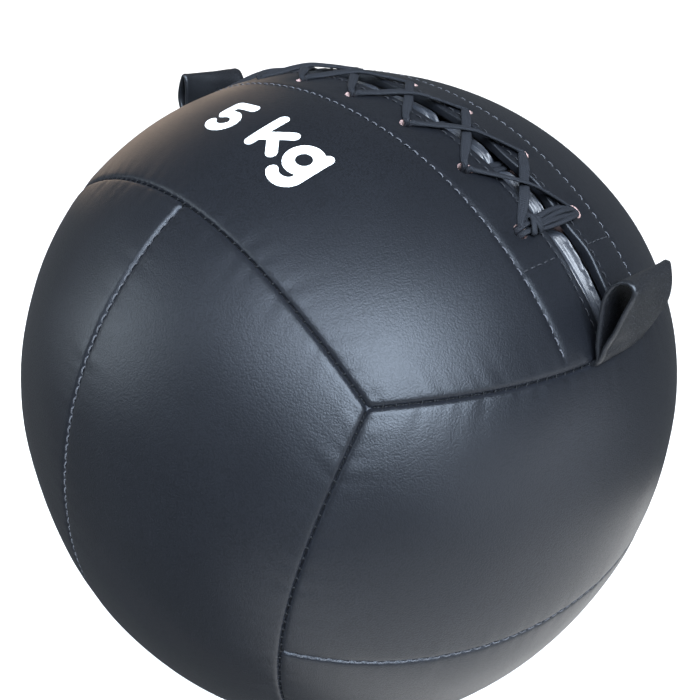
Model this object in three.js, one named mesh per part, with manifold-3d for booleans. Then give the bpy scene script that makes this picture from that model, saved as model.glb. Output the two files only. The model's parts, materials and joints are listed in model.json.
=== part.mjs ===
// Soft medicine ball: a 12-panel stitched cover with a laced filling closure on top,
// two strap loops sewn into the seams at the ends of the closure, a lining bag,
// fibre filling in two halves and a tied core bag of ballast.
//
// Millimetres, +Z up. The origin is on the resting plane under the ball's centre.
// The laced closure is on top and runs along X.

import * as THREE from 'three';
import { mergeVertices } from 'three/addons/utils/BufferGeometryUtils.js';
import ManifoldModule from 'manifold-3d';

// ---------------------------------------------------------------- driving dimensions

// The ball
const BALL_DIAMETER = 350;       // mean size over the cover
const REST_DEPTH = 7;            // how far the resting side is pressed flat
const SQUARENESS = 0.05;         // how much the six-square cover swells at its corners
const SEAM_BOW_DEG = 6.9;        // how far each long seam bows at its middle
const SEAM_WAVE_DEG = 1.0;       // second term of the same bow, towards its ends

// The cover's leather panels
const COVER_WALL = 2.4;          // leather with its foam backing
const SEAM_GAP_OUT = 2.2;        // width of the seam's valley at the outer face
const SEAM_GAP_IN = 0.5;         // the same at the inner face
const SEAM_THREAD = 0.7;         // across the flats of the seam's thread
const SEAM_THREAD_DEPTH = 0.65;  // thread's centre below the outer face
const THREAD_END_GAP = 2.4;      // each seam thread stops this far short of the next seam

// The laced closure
const MOUTH_WIDTH = 14;          // between the two flap edges
const CLOSURE_BOW = 6;           // how far the closure's middle is drawn to the front
const LACE_PAIRS = 7;            // pairs of lace holes
const LACE_PITCH = 33.6;         // from one pair to the next
const LACE_ROW_GAUGE = 37.6;     // across the closure, hole centre to hole centre
const LACE_HOLE = 6.4;           // hole diameter
const FACING_WIDTH = 30;         // strip behind each flap, from its edge
const FACING_LENGTH = 286;
const FACING_WALL = 1.2;
const TONGUE_WIDTH = 56;
const TONGUE_LENGTH = 290;
const TONGUE_WALL = 1.6;
const LACE_DIAMETER = 2.2;       // the flat lace, gathered round
const LACE_CROSS_LIFT = 2.7;     // upper strand over lower strand, centre to centre
const KNOT_DIAMETER = 7.5;
const TOPSTITCH_GAUGE = 62;      // between the two outer rows of stitching
const EDGE_ROW_INSET = 3.4;      // edge row, in from the flap's edge
const TACK_STATION = 115.5;      // bar tack across the flap, from the closure's middle
const STITCH_WIDTH = 0.9;
const STITCH_HEIGHT = 0.5;

// The strap loops
const LOOP_WIDTH = 36;           // strap width
const LOOP_HEIGHT = 35;          // from the hinge line to the tip
const LOOP_THICKNESS = 12.4;     // over both legs, at the widest
const LOOP_STRAP = 1.8;          // strap thickness
const LOOP_ROOT_RADIUS = 2.4;    // rounded sewn root
const LOOP_LEAN = 3.3;           // how far it leans towards the closure

// Inside
const LINER_WALL = 1.2;
const LINER_EASE = 2.4;          // room between the cover and the lining
const LINER_MOUTH = 96;          // opening under the closure
const DRAWCORD_DIAMETER = 2.6;
const CORE_DIAMETER = 124;
const CORE_WALL = 1.4;
const CORE_NECK = 30;            // neck's outer diameter
const CORE_NECK_HEIGHT = 20;
const TIE_DIAMETER = 3.2;
const CLEARANCE = 0.5;           // between pieces that lie against each other

const BALLAST_LEVEL = 44;        // top of the ballast above the core's centre

// Fineness of the faceting
const HALF_SEAM_STEPS = 6;       // facets along half a seam
const LACED_STEPS = [20, 8];     // facets along and across each laced panel
const CLOSURE_STEPS = 20;        // facets along the facing strips and the tongue
const RING_STEPS = 20;           // round the liner, filling and core

// ---------------------------------------------------------------- worked-out sizes

const R = BALL_DIAMETER / 2;
const CENTRE = new THREE.Vector3(0, 0, R - REST_DEPTH);
const MOUTH_HALF = MOUTH_WIDTH / 2;
const FACING_DEPTH = COVER_WALL + CLEARANCE;
const LACE_UNDER_DEPTH = FACING_DEPTH + FACING_WALL + CLEARANCE + LACE_DIAMETER / 2;
const TONGUE_DEPTH = LACE_UNDER_DEPTH + LACE_DIAMETER / 2 + CLEARANCE;
const STITCH_LIFT = CLEARANCE;
const LACE_LIFT = STITCH_LIFT + STITCH_HEIGHT + CLEARANCE + LACE_DIAMETER / 2;
const LINER_DEPTH = TONGUE_DEPTH + TONGUE_WALL + CLEARANCE;
const LINER_SNUG_DEPTH = COVER_WALL + LINER_EASE;
const FILL_BEHIND = LINER_WALL + 2 * CLEARANCE;
const SEAM_HALF = Math.atan(1 / Math.SQRT2);        // half the angle of one long seam
const SPLIT_HALF = Math.PI / 4 + THREE.MathUtils.degToRad(SEAM_BOW_DEG);

const X = new THREE.Vector3(1, 0, 0);
const Y = new THREE.Vector3(0, 1, 0);
const Z = new THREE.Vector3(0, 0, 1);
const neg = (v) => v.clone().negate();

// ---------------------------------------------------------------- materials

const leather = (color, roughness = 0.42) => new THREE.MeshStandardMaterial({ color, roughness, metalness: 0 });
const COLOUR = {
  cover: 0x17181b, strap: 0x1b1c20, tongue: 0x202329, facing: 0xb9a9a6, lace: 0x1e1f22,
  thread: 0x2a2c30, stitch: 0x8b8f96, liner: 0xb8b4a8, cord: 0xd8d3c4, fill: 0xcfc8b6,
  core: 0x6a5a46, ballast: 0x7d7468, tie: 0x33373d,
};

// ---------------------------------------------------------------- the ball's surface

// Distance from the centre to the cover along a unit direction, less a depth.
// The six-square cover swells towards its eight corners; the resting side is
// pressed flat, and every layer keeps its thickness there.
function reach(direction, depth = 0) {
  const { x, y, z } = direction;
  const swell = 1 + SQUARENESS * (0.6 - (x ** 4 + y ** 4 + z ** 4));
  const free = R * swell - depth;
  return z < 0 ? Math.min(free, (R - REST_DEPTH - depth) / -z) : free;
}

function onBall(direction, depth = 0) {
  const unit = direction.clone().normalize();
  return unit.clone().multiplyScalar(reach(unit, depth)).add(CENTRE);
}

// A direction near the top, from distances along and across the closure, whose
// middle is drawn towards the front.
function topDirection(along, across) {
  const drawn = CLOSURE_BOW * Math.max(0, 1 - (along / (R * SPLIT_HALF)) ** 2);
  const a = along / R, b = (across - drawn) / R;
  return new THREE.Vector3(Math.sin(a) * Math.cos(b), Math.sin(b), Math.cos(a) * Math.cos(b));
}

const onTop = (along, across, depth = 0) => onBall(topDirection(along, across), depth);

// A long seam between the squares of ends and crossed, running along its length.
// It bows away from the square whose split meets it in the middle. t runs -1 to 1.
function seamDirection(split, other, length, t) {
  const base = split.clone().add(other).normalize();
  const side = split.clone().sub(other).normalize();
  const bow = -THREE.MathUtils.degToRad(SEAM_BOW_DEG) * (1 - t * t)
    + THREE.MathUtils.degToRad(SEAM_WAVE_DEG) * (1 - t * t) * t * t;
  return base.multiplyScalar(Math.cos(t * SEAM_HALF)).addScaledVector(length, Math.sin(t * SEAM_HALF))
    .multiplyScalar(Math.cos(bow)).addScaledVector(side, Math.sin(bow)).normalize();
}

// The split that halves a square, s from -1 to 1.
function splitDirection(face, run, s) {
  const a = s * SPLIT_HALF;
  return face.clone().multiplyScalar(Math.cos(a)).addScaledVector(run, Math.sin(a));
}

// One half of a square: s along the split, t from the split (0) to the long seam (1).
function panelDirection(face, run, across, s, t) {
  const near = (u) => (face === Z ? topDirection(u * R * SPLIT_HALF * run.x, 0) : splitDirection(face, run, u));
  const far = (u) => seamDirection(across, face, run, u);
  const low = (v) => seamDirection(face, neg(run), across, v);
  const high = (v) => seamDirection(face, run, across, v);
  const u = (s + 1) / 2;
  return new THREE.Vector3()
    .addScaledVector(near(s), 1 - t).addScaledVector(far(s), t)
    .addScaledVector(low(t), 1 - u).addScaledVector(high(t), u)
    .addScaledVector(near(-1), -(1 - t) * (1 - u)).addScaledVector(near(1), -(1 - t) * u)
    .addScaledVector(far(-1), -t * (1 - u)).addScaledVector(far(1), -t * u)
    .normalize();
}

// ---------------------------------------------------------------- geometry helpers

// Welds a geometry's corners and drops the facets that have no area.
function weld(geometry) {
  const bare = new THREE.BufferGeometry();
  bare.setAttribute('position', geometry.attributes.position);
  if (geometry.index) bare.setIndex(geometry.index);
  const merged = mergeVertices(bare, 1e-3);
  const index = merged.index.array, kept = [];
  for (let i = 0; i < index.length; i += 3) {
    const [a, b, c] = [index[i], index[i + 1], index[i + 2]];
    if (a !== b && b !== c && c !== a) kept.push(a, b, c);
  }
  merged.setIndex(kept);
  return merged;
}

// Moves every corner of a unit geometry through a function.
function bend(geometry, place) {
  const position = geometry.attributes.position;
  const point = new THREE.Vector3();
  for (let i = 0; i < position.count; i++) {
    const placed = place(point.fromBufferAttribute(position, i).clone());
    position.setXYZ(i, placed.x, placed.y, placed.z);
  }
  return weld(geometry);
}

// A slab bent out of a box: along and across are station lists, and place takes
// (along value, across value, 0 inner or 1 outer).
function slab(along, across, place) {
  const box = new THREE.BoxGeometry(along.length - 1, across.length - 1, 1, along.length - 1, across.length - 1, 1);
  return bend(box, (p) => {
    const i = Math.round(p.x + (along.length - 1) / 2), j = Math.round(p.y + (across.length - 1) / 2);
    return place(along[i], across[j], p.z > 0 ? 1 : 0);
  });
}

const spread = (from, to, steps) => Array.from({ length: steps + 1 }, (_, i) => from + (to - from) * i / steps);

// A path through listed points, used as they are.
class Route extends THREE.Curve {
  constructor(points) { super(); this.points = points; }
  getPoint(t, target = new THREE.Vector3()) {
    const last = this.points.length - 1, at = Math.min(Math.max(t, 0), 1) * last;
    const i = Math.min(Math.floor(at), last - 1);
    return target.lerpVectors(this.points[i], this.points[i + 1], at - i);
  }
  getPointAt(u, target) { return this.getPoint(u, target); }
  getTangentAt(u, target = new THREE.Vector3()) {
    const last = this.points.length - 1, i = Math.round(u * last);
    return target.subVectors(this.points[Math.min(i + 1, last)], this.points[Math.max(i - 1, 0)]).normalize();
  }
}

function sweep(points, section) {
  return weld(new THREE.ExtrudeGeometry(section, { steps: points.length - 1, extrudePath: new Route(points), bevelEnabled: false }));
}

function roundSection(diameter, sides) {
  return new THREE.Shape(Array.from({ length: sides }, (_, i) => {
    const a = 2 * Math.PI * (i + 0.5) / sides;
    return new THREE.Vector2(Math.cos(a), Math.sin(a)).multiplyScalar(diameter / 2);
  }));
}

// ---------------------------------------------------------------- joining and cutting

const solids = await ManifoldModule();
solids.setup();

function toManifold(geometry) {
  const g = weld(geometry);
  return new solids.Manifold(new solids.Mesh({
    numProp: 3,
    vertProperties: new Float32Array(g.attributes.position.array),
    triVerts: new Uint32Array(g.index.array),
  }));
}

function fromManifold(manifold) {
  const mesh = manifold.getMesh();
  const positions = new Float32Array(mesh.numVert * 3);
  for (let i = 0; i < mesh.numVert; i++) {
    for (let k = 0; k < 3; k++) positions[3 * i + k] = mesh.vertProperties[mesh.numProp * i + k];
  }
  const g = new THREE.BufferGeometry();
  g.setAttribute('position', new THREE.BufferAttribute(positions, 3));
  g.setIndex(Array.from(mesh.triVerts));
  return weld(g);
}

const cut = (geometry, tools) => fromManifold(
  tools.reduce((body, tool) => body.subtract(toManifold(tool)), toManifold(geometry)));
const join = (...pieces) => fromManifold(
  pieces.map(toManifold).reduce((a, b) => a.add(b)));

// ---------------------------------------------------------------- assembly

const ball = new THREE.Group();
ball.name = 'medicine_ball';

function add(name, geometry, color, roughness = 0.5) {
  const g = geometry.index ? geometry.toNonIndexed() : geometry;
  g.computeVertexNormals();
  const mesh = new THREE.Mesh(g, leather(color, roughness));
  mesh.name = name;
  ball.add(mesh);
  return mesh;
}

// Lace holes: distances along the closure, and a cutter for each hole of one row.
const LACE_STATIONS = spread(-(LACE_PAIRS - 1) / 2, (LACE_PAIRS - 1) / 2, LACE_PAIRS - 1).map((k) => k * LACE_PITCH);

function holeCutters(side) {
  return LACE_STATIONS.map((station) => {
    const direction = topDirection(station, side * LACE_ROW_GAUGE / 2).normalize();
    const cutter = new THREE.CylinderGeometry(LACE_HOLE / 2, LACE_HOLE / 2, 40, 8);
    cutter.applyQuaternion(new THREE.Quaternion().setFromUnitVectors(Y, direction));
    const middle = onBall(direction);
    cutter.translate(middle.x, middle.y, middle.z);
    return cutter;
  });
}

// A cover panel: half a square. Its border is drawn in by half the seam's gap,
// more at the outer face than at the inner one, so that the seams are valleys.
function panel(face, run, across, steps, mouth = 0) {
  const along = spread(-1, 1, steps[0]);
  const over = spread(0, 1, steps[1]);
  const step = 1e-3;
  return slab(along, over, (s, t, outer) => {
    const depth = outer ? 0 : COVER_WALL;
    const gap = (outer ? SEAM_GAP_OUT : SEAM_GAP_IN) / 2;
    const at = (u, v) => panelDirection(face, run, across, u, v);
    const here = at(s, t);
    const towards = (u, v) => at(u, v).sub(here).normalize();
    const inset = new THREE.Vector3();
    if (Math.abs(s) === 1) inset.addScaledVector(towards(s - Math.sign(s) * step, t), gap);
    if (t === 1) inset.addScaledVector(towards(s, t - step), gap);
    if (t === 0) inset.addScaledVector(towards(s, t + step), mouth || gap);
    return onBall(here.addScaledVector(inset, 1 / R), depth);
  });
}

// Squares of the cover: face, the way its split runs, and the names of its halves.
const SQUARES = [
  { face: Z, run: X, across: Y, halves: ['panel_top_back', 'panel_top_front'], laced: true },
  { face: neg(Z), run: X, across: Y, halves: ['panel_bottom_back', 'panel_bottom_front'], split: 'seam_thread_bottom_split' },
  { face: neg(Y), run: Z, across: X, halves: ['panel_front_right', 'panel_front_left'], split: 'seam_thread_front_split' },
  { face: Y, run: Z, across: X, halves: ['panel_back_right', 'panel_back_left'], split: 'seam_thread_back_split' },
  { face: X, run: Y, across: Z, halves: ['panel_right_upper', 'panel_right_lower'], split: 'seam_thread_right_split' },
  { face: neg(X), run: Y, across: Z, halves: ['panel_left_upper', 'panel_left_lower'], split: 'seam_thread_left_split' },
];

for (const { face, run, across, halves, laced } of SQUARES) {
  for (const side of [1, -1]) {
    // The box is bent the right way out only when its three axes are right-handed.
    const toward = across.clone().multiplyScalar(side);
    const handed = run.clone().cross(toward).dot(face) > 0 ? run : neg(run);
    const shell = laced
      ? cut(panel(face, handed, toward, LACED_STEPS, MOUTH_HALF), holeCutters(side))
      : panel(face, handed, toward, [2 * HALF_SEAM_STEPS, HALF_SEAM_STEPS]);
    add(halves[side > 0 ? 0 : 1], shell, COLOUR.cover, 0.42);
  }
}

// Seam threads: each lies in its seam's valley, on the same stations as the panels.
function seamThread(directionAt, steps) {
  const stations = spread(-1, 1, steps);
  const lie = (t) => onBall(directionAt(t), SEAM_THREAD_DEPTH);
  const points = stations.map(lie);
  // Each end stops short of the seam that it runs into.
  const shorten = (end, next) => end.clone().lerp(next, THREAD_END_GAP / end.distanceTo(next));
  points[0] = shorten(points[0], points[1]);
  points[steps] = shorten(points[steps], points[steps - 1]);
  return sweep(points, roundSection(SEAM_THREAD, 4));
}

const LONG_SEAMS = [
  ['seam_thread_top_right', Z, X, Y], ['seam_thread_top_left', Z, neg(X), Y],
  ['seam_thread_bottom_right', neg(Z), X, Y], ['seam_thread_bottom_left', neg(Z), neg(X), Y],
  ['seam_thread_top_front', neg(Y), Z, X], ['seam_thread_top_back', Y, Z, X],
  ['seam_thread_bottom_front', neg(Y), neg(Z), X], ['seam_thread_bottom_back', Y, neg(Z), X],
  ['seam_thread_front_right', X, neg(Y), Z], ['seam_thread_back_right', X, Y, Z],
  ['seam_thread_front_left', neg(X), neg(Y), Z], ['seam_thread_back_left', neg(X), Y, Z],
];
for (const [name, split, other, length] of LONG_SEAMS) {
  add(name, seamThread((t) => seamDirection(split, other, length, t), 2 * HALF_SEAM_STEPS), COLOUR.thread, 0.7);
}
for (const { face, run, split } of SQUARES) {
  if (split) add(split, seamThread((s) => splitDirection(face, run, s), 2 * HALF_SEAM_STEPS), COLOUR.stitch, 0.7);
}

// Facing strips behind the flaps, and the tongue behind both.
const FACING_STATIONS = spread(-FACING_LENGTH / 2, FACING_LENGTH / 2, CLOSURE_STEPS);
for (const [name, side] of [['facing_back', 1], ['facing_front', -1]]) {
  const edges = spread(side * MOUTH_HALF, side * (MOUTH_HALF + FACING_WIDTH), 2);
  if (side < 0) edges.reverse();
  const strip = slab(FACING_STATIONS, edges, (along, acrossAt, outer) =>
    onTop(along, acrossAt, outer ? FACING_DEPTH : FACING_DEPTH + FACING_WALL));
  add(name, cut(strip, holeCutters(side)), COLOUR.facing, 0.8);
}
add('tongue', slab(spread(-TONGUE_LENGTH / 2, TONGUE_LENGTH / 2, CLOSURE_STEPS), spread(-TONGUE_WIDTH / 2, TONGUE_WIDTH / 2, 4),
  (along, acrossAt, outer) => onTop(along, acrossAt, outer ? TONGUE_DEPTH : TONGUE_DEPTH + TONGUE_WALL)), COLOUR.tongue, 0.35);

// Rows of stitching on the flaps, and the bar tacks across them.
const FLAP_REACH = R * SPLIT_HALF - SEAM_GAP_OUT - 1;
const EDGE_ROW = MOUTH_HALF + EDGE_ROW_INSET;
const OUTER_ROW = TOPSTITCH_GAUGE / 2;

function stitchRow(from, to, steps) {
  const stations = spread(0, 1, steps).map((u) => [from[0] + (to[0] - from[0]) * u, from[1] + (to[1] - from[1]) * u]);
  const [dx, dy] = [to[0] - from[0], to[1] - from[1]];
  const length = Math.hypot(dx, dy), half = STITCH_WIDTH / 2;
  return slab(stations.map((_, i) => i), [-half, half], (i, side, outer) => {
    const [x, y] = stations[i];
    return onTop(x - side * dy / length, y + side * dx / length, -(STITCH_LIFT + (outer ? STITCH_HEIGHT : 0)));
  });
}

for (const [name, side] of [['back', 1], ['front', -1]]) {
  const reachAt = FLAP_REACH - 3;
  add(`topstitch_outer_${name}`, stitchRow([-reachAt, side * OUTER_ROW], [reachAt, side * OUTER_ROW], 24), COLOUR.stitch, 0.7);
  add(`topstitch_edge_${name}`, stitchRow([-reachAt, side * EDGE_ROW], [reachAt, side * EDGE_ROW], 24), COLOUR.stitch, 0.7);
  for (const [end, sign] of [['right', 1], ['left', -1]]) {
    const inner = EDGE_ROW + STITCH_WIDTH / 2 + CLEARANCE, outer = OUTER_ROW - STITCH_WIDTH / 2 - CLEARANCE;
    add(`bar_tack_${end}_${name}`, stitchRow([sign * TACK_STATION, side * inner], [sign * TACK_STATION, side * outer], 3), COLOUR.stitch, 0.7);
  }
}

// The lace: one cord. It starts at the right-hand pair, crosses the mouth pair by
// pair to the left-hand end, and crosses back over its first run. Under the flaps
// each run goes straight across from hole to hole.
function laceRoute() {
  const row = LACE_ROW_GAUGE / 2;
  const apart = LACE_DIAMETER / 2 + CLEARANCE / 2 + 0.1;   // two passes share each hole
  const lie = -LACE_LIFT;
  const last = LACE_PAIRS - 1;
  const station = (k) => LACE_STATIONS[last - k];
  const points = [];
  const put = (along, across, depth) => points.push(onTop(along, across, depth));

  // Down a hole, under to its opposite, and up. shift is the pass's place in the holes.
  const underRun = (k, side, shift) => {
    const x = station(k) + shift;
    put(x, side * row, lie);
    put(x, side * row, LACE_UNDER_DEPTH - 0.6);
    put(x, side * (row - 2.2), LACE_UNDER_DEPTH);
    put(x, 0, LACE_UNDER_DEPTH);
    put(x, -side * (row - 2.2), LACE_UNDER_DEPTH);
    put(x, -side * row, LACE_UNDER_DEPTH - 0.6);
    put(x, -side * row, lie);
  };
  // Over the mouth from one pair to the next; lift carries the second run over the first.
  const overRun = (fromX, toX, side, lift) => {
    for (const u of [0.1, 0.3, 0.5, 0.7, 0.9]) {
      const hump = lift * Math.exp(-(((u - 0.5) / 0.16) ** 2));
      put(fromX + (toX - fromX) * u, side * row * (1 - 2 * u), lie - hump);
    }
  };

  // First run, right to left: it sits on the left of each hole it leaves.
  let side = -1;
  put(station(0) - apart, side * row, LACE_UNDER_DEPTH - 0.6);
  put(station(0) - apart, side * row, lie);
  for (let k = 1; k <= last; k++) {
    const leave = station(k - 1) - apart;
    const arrive = k === last ? station(k) : station(k) - apart;
    overRun(leave, arrive, side, 0);
    if (k < last) {
      underRun(k, -side, -apart);
    } else {
      underRun(k, -side, 0);
    }
  }
  // Second run, left to right, over the first.
  for (let k = last - 1; k >= 0; k--) {
    const leave = k + 1 === last ? station(k + 1) : station(k + 1) + apart;
    const arrive = station(k) + apart;
    overRun(leave, arrive, side, LACE_CROSS_LIFT);
    if (k > 0) underRun(k, -side, apart);
  }
  // Down the last hole and up again, then back over the mouth to the knot.
  const end = station(0);
  put(end + apart, row, lie);
  put(end + apart, row, FACING_DEPTH + FACING_WALL);
  put(end, row, LACE_UNDER_DEPTH);
  put(end - apart + 0.2, row, FACING_DEPTH + FACING_WALL);
  put(end - apart + 0.2, row, lie);
  for (const u of [0.15, 0.5, 0.82]) put(end, row * (1 - 2 * u), lie - 1.2);
  return points;
}
const KNOT = onTop(LACE_STATIONS[LACE_PAIRS - 1], -(LACE_ROW_GAUGE / 2 - KNOT_DIAMETER * 0.75), -(CLEARANCE + KNOT_DIAMETER / 2));
const knot = new THREE.IcosahedronGeometry(KNOT_DIAMETER / 2, 1);
knot.translate(KNOT.x, KNOT.y, KNOT.z);
add('lace', join(sweep(laceRoute(), roundSection(LACE_DIAMETER, 5)), knot), COLOUR.lace, 0.75);

// ---------------------------------------------------------------- strap loops

// Side view of a loop: a strap folded on itself, sewn shut at its rounded root
// and open above. It leans towards the closure.
function loopGeometry() {
  const belly = LOOP_THICKNESS / 2, cap = belly * 1.15, shoulder = LOOP_HEIGHT - cap;
  const root = LOOP_ROOT_RADIUS, eyeBelly = belly - LOOP_STRAP, eyeFoot = LOOP_HEIGHT * 0.2;
  const outline = new THREE.Shape();
  outline.absarc(0, 0, root, Math.PI, 2 * Math.PI);
  outline.bezierCurveTo(root, LOOP_HEIGHT * 0.34, belly, LOOP_HEIGHT * 0.42, belly, shoulder);
  outline.absellipse(0, shoulder, belly, cap, 0, Math.PI);
  outline.bezierCurveTo(-belly, LOOP_HEIGHT * 0.42, -root, LOOP_HEIGHT * 0.34, -root, 0);
  const eye = new THREE.Path();
  eye.moveTo(0, eyeFoot);
  eye.bezierCurveTo(0.3, LOOP_HEIGHT * 0.42, eyeBelly, LOOP_HEIGHT * 0.48, eyeBelly, shoulder);
  eye.absellipse(0, shoulder, eyeBelly, cap - LOOP_STRAP, 0, Math.PI);
  eye.bezierCurveTo(-eyeBelly, LOOP_HEIGHT * 0.48, -0.3, LOOP_HEIGHT * 0.42, 0, eyeFoot);
  outline.holes.push(eye);
  const strap = new THREE.ExtrudeGeometry(outline, { depth: LOOP_WIDTH, steps: 1, curveSegments: 9, bevelEnabled: false });
  strap.translate(0, 0, -LOOP_WIDTH / 2);
  strap.rotateX(Math.PI / 2);            // the strap's width lies along Y, its height along Z
  return bend(strap, (p) => {
    const rise = Math.min(Math.max(p.z / (LOOP_HEIGHT * 0.63), 0), 1);
    return new THREE.Vector3(p.x - LOOP_LEAN * Math.sin(Math.PI / 2 * rise), p.y, p.z);
  });
}

// The hinge line is the seam at the end of the closure, just outside the cover.
const LOOP_HINGE = onBall(splitDirection(Z, X, 1), -(LOOP_ROOT_RADIUS + 0.5));
for (const [name, turn] of [['right_loop', 0], ['left_loop', Math.PI]]) {
  const strap = loopGeometry();
  strap.translate(LOOP_HINGE.x, 0, LOOP_HINGE.z);
  strap.rotateZ(turn);
  add(name, strap, COLOUR.strap, 0.4);
}

// ---------------------------------------------------------------- inside

// Stations from the top pole down, shared by every round layer so that their
// facets stay parallel. One is the lining's mouth and one is the equator.
const MOUTH_ANGLE = (LINER_MOUTH / 2) / (R - LINER_DEPTH);
const CLOSURE_ANGLE = Math.max(TONGUE_LENGTH / 2, FACING_LENGTH / 2) / R + 0.1;
const UPPER_ANGLES = [...spread(MOUTH_ANGLE, CLOSURE_ANGLE, 2), ...spread(CLOSURE_ANGLE, Math.PI / 2, 2).slice(1)];
const LOWER_ANGLES = [...spread(Math.PI / 2, Math.PI - MOUTH_ANGLE, 4).slice(1), Math.PI];

// A geometry turned from a profile of [radius, height] pairs, about +Z.
function turned(profile) {
  const points = profile.map(([radius, height]) => new THREE.Vector2(radius, height));
  return new THREE.LatheGeometry(points, RING_STEPS).rotateX(Math.PI / 2);
}

// The lining lies against the cover, and dips under the whole closure.
const polarAngle = (p) => Math.atan2(Math.hypot(p.x, p.y), p.z);
const linerDepth = (p) => (polarAngle(p) < CLOSURE_ANGLE + 0.01 ? LINER_DEPTH : LINER_SNUG_DEPTH);

// Lining bag: a shell under the cover, open at its mouth.
const LAYER = { outer: 2, inner: 1 };
const ringAt = (angle, scale) => [angle === Math.PI ? 0 : Math.sin(angle) * scale, Math.cos(angle) * scale];
const linerAngles = [...UPPER_ANGLES, ...LOWER_ANGLES];
add('liner_bag', bend(
  turned([...[...linerAngles].reverse().map((a) => ringAt(a, LAYER.outer)), ...linerAngles.map((a) => ringAt(a, LAYER.inner))]),
  (p) => onBall(p, linerDepth(p) + (p.length() > 1.5 ? 0 : LINER_WALL))), COLOUR.liner, 0.9);

// Drawcord that closes the mouth.
const MOUTH_EDGE = onBall(new THREE.Vector3(Math.sin(MOUTH_ANGLE), 0, Math.cos(MOUTH_ANGLE)), LINER_DEPTH);
const cordRadius = MOUTH_EDGE.x * Math.cos(Math.PI / RING_STEPS) - CLEARANCE * 2 - DRAWCORD_DIAMETER / 2;
const drawcord = new THREE.TorusGeometry(cordRadius, DRAWCORD_DIAMETER / 2, 5, RING_STEPS);
drawcord.translate(0, 0, onBall(new THREE.Vector3(cordRadius, 0, MOUTH_EDGE.z - CENTRE.z), LINER_DEPTH).z - DRAWCORD_DIAMETER / 2);
add('liner_drawcord', drawcord, COLOUR.cord, 0.8);

// Core bag: a ball with a gathered neck, holding the ballast.
const CORE_R = CORE_DIAMETER / 2;
const NECK_R = CORE_NECK / 2;
const NECK_TOP = Math.sqrt(CORE_R ** 2 - NECK_R ** 2) + CORE_NECK_HEIGHT;
const coreArc = (radius, neck) => {
  const start = Math.asin(neck / radius);
  return spread(Math.PI, start, 9).map((a) => [a === Math.PI ? 0 : Math.sin(a) * radius, Math.cos(a) * radius]);
};
const coreProfile = [
  ...coreArc(CORE_R, NECK_R), [NECK_R, NECK_TOP], [NECK_R - CORE_WALL, NECK_TOP],
  ...coreArc(CORE_R - CORE_WALL, NECK_R - CORE_WALL).reverse(),
];
const core = turned(coreProfile);
core.translate(0, 0, CENTRE.z);
add('core_bag', core, COLOUR.core, 0.85);

const BALLAST_R = CORE_R - CORE_WALL - 4 * CLEARANCE;   // room for the bag's flat facets
const ballastEdge = Math.acos(BALLAST_LEVEL / BALLAST_R);
const ballast = turned([
  ...spread(Math.PI, ballastEdge, 8).map((a) => [a === Math.PI ? 0 : Math.sin(a) * BALLAST_R, Math.cos(a) * BALLAST_R]),
  [0, BALLAST_LEVEL],
]);
ballast.translate(0, 0, CENTRE.z);
add('ballast', ballast, COLOUR.ballast, 0.95);

const TIE_R = NECK_R + CLEARANCE + TIE_DIAMETER / 2;
const tie = new THREE.TorusGeometry(TIE_R, TIE_DIAMETER / 2, 6, RING_STEPS);
tie.translate(0, 0, CENTRE.z + NECK_TOP - CORE_NECK_HEIGHT / 2);
add('core_tie', tie, COLOUR.tie, 0.6);

// Fibre filling in two halves, with pockets for the core, its neck and the drawcord.
const corePocket = new THREE.IcosahedronGeometry(CORE_R + 2.2, 3);
corePocket.translate(0, 0, CENTRE.z);
const pocketTop = NECK_TOP + CLEARANCE * 2;
const NECK_POCKET_R = (TIE_R + TIE_DIAMETER / 2 + CLEARANCE) / Math.cos(2 * Math.PI / RING_STEPS);
const neckPocket = new THREE.CylinderGeometry(NECK_POCKET_R, NECK_POCKET_R, pocketTop, RING_STEPS / 2);
neckPocket.rotateX(Math.PI / 2).translate(0, 0, CENTRE.z + pocketTop / 2);

function fillHalf(angles, sign) {
  const ring = angles.map((a) => ringAt(a, 1));
  const profile = sign > 0 ? [[0, 0], ...[...ring].reverse(), [0, 1]] : [...[...ring].reverse(), [0, 0]];
  return bend(turned(profile), (p) => {
    if (p.length() < 0.5) return new THREE.Vector3(0, 0, CENTRE.z + sign * CLEARANCE / 2);
    const underMouth = polarAngle(p) < MOUTH_ANGLE + 0.01;
    const placed = onBall(p, linerDepth(p) + FILL_BEHIND + (underMouth ? DRAWCORD_DIAMETER : 0));
    placed.z = sign > 0 ? Math.max(placed.z, CENTRE.z + CLEARANCE / 2) : Math.min(placed.z, CENTRE.z - CLEARANCE / 2);
    return placed;
  });
}
add('fill_upper', cut(fillHalf(UPPER_ANGLES, 1), [corePocket, neckPocket]), COLOUR.fill, 1);
add('fill_lower', cut(fillHalf([Math.PI / 2, ...LOWER_ANGLES], -1), [corePocket]), COLOUR.fill, 1);

export default ball;
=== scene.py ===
"""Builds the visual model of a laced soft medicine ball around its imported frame."""

import json
import math

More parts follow.
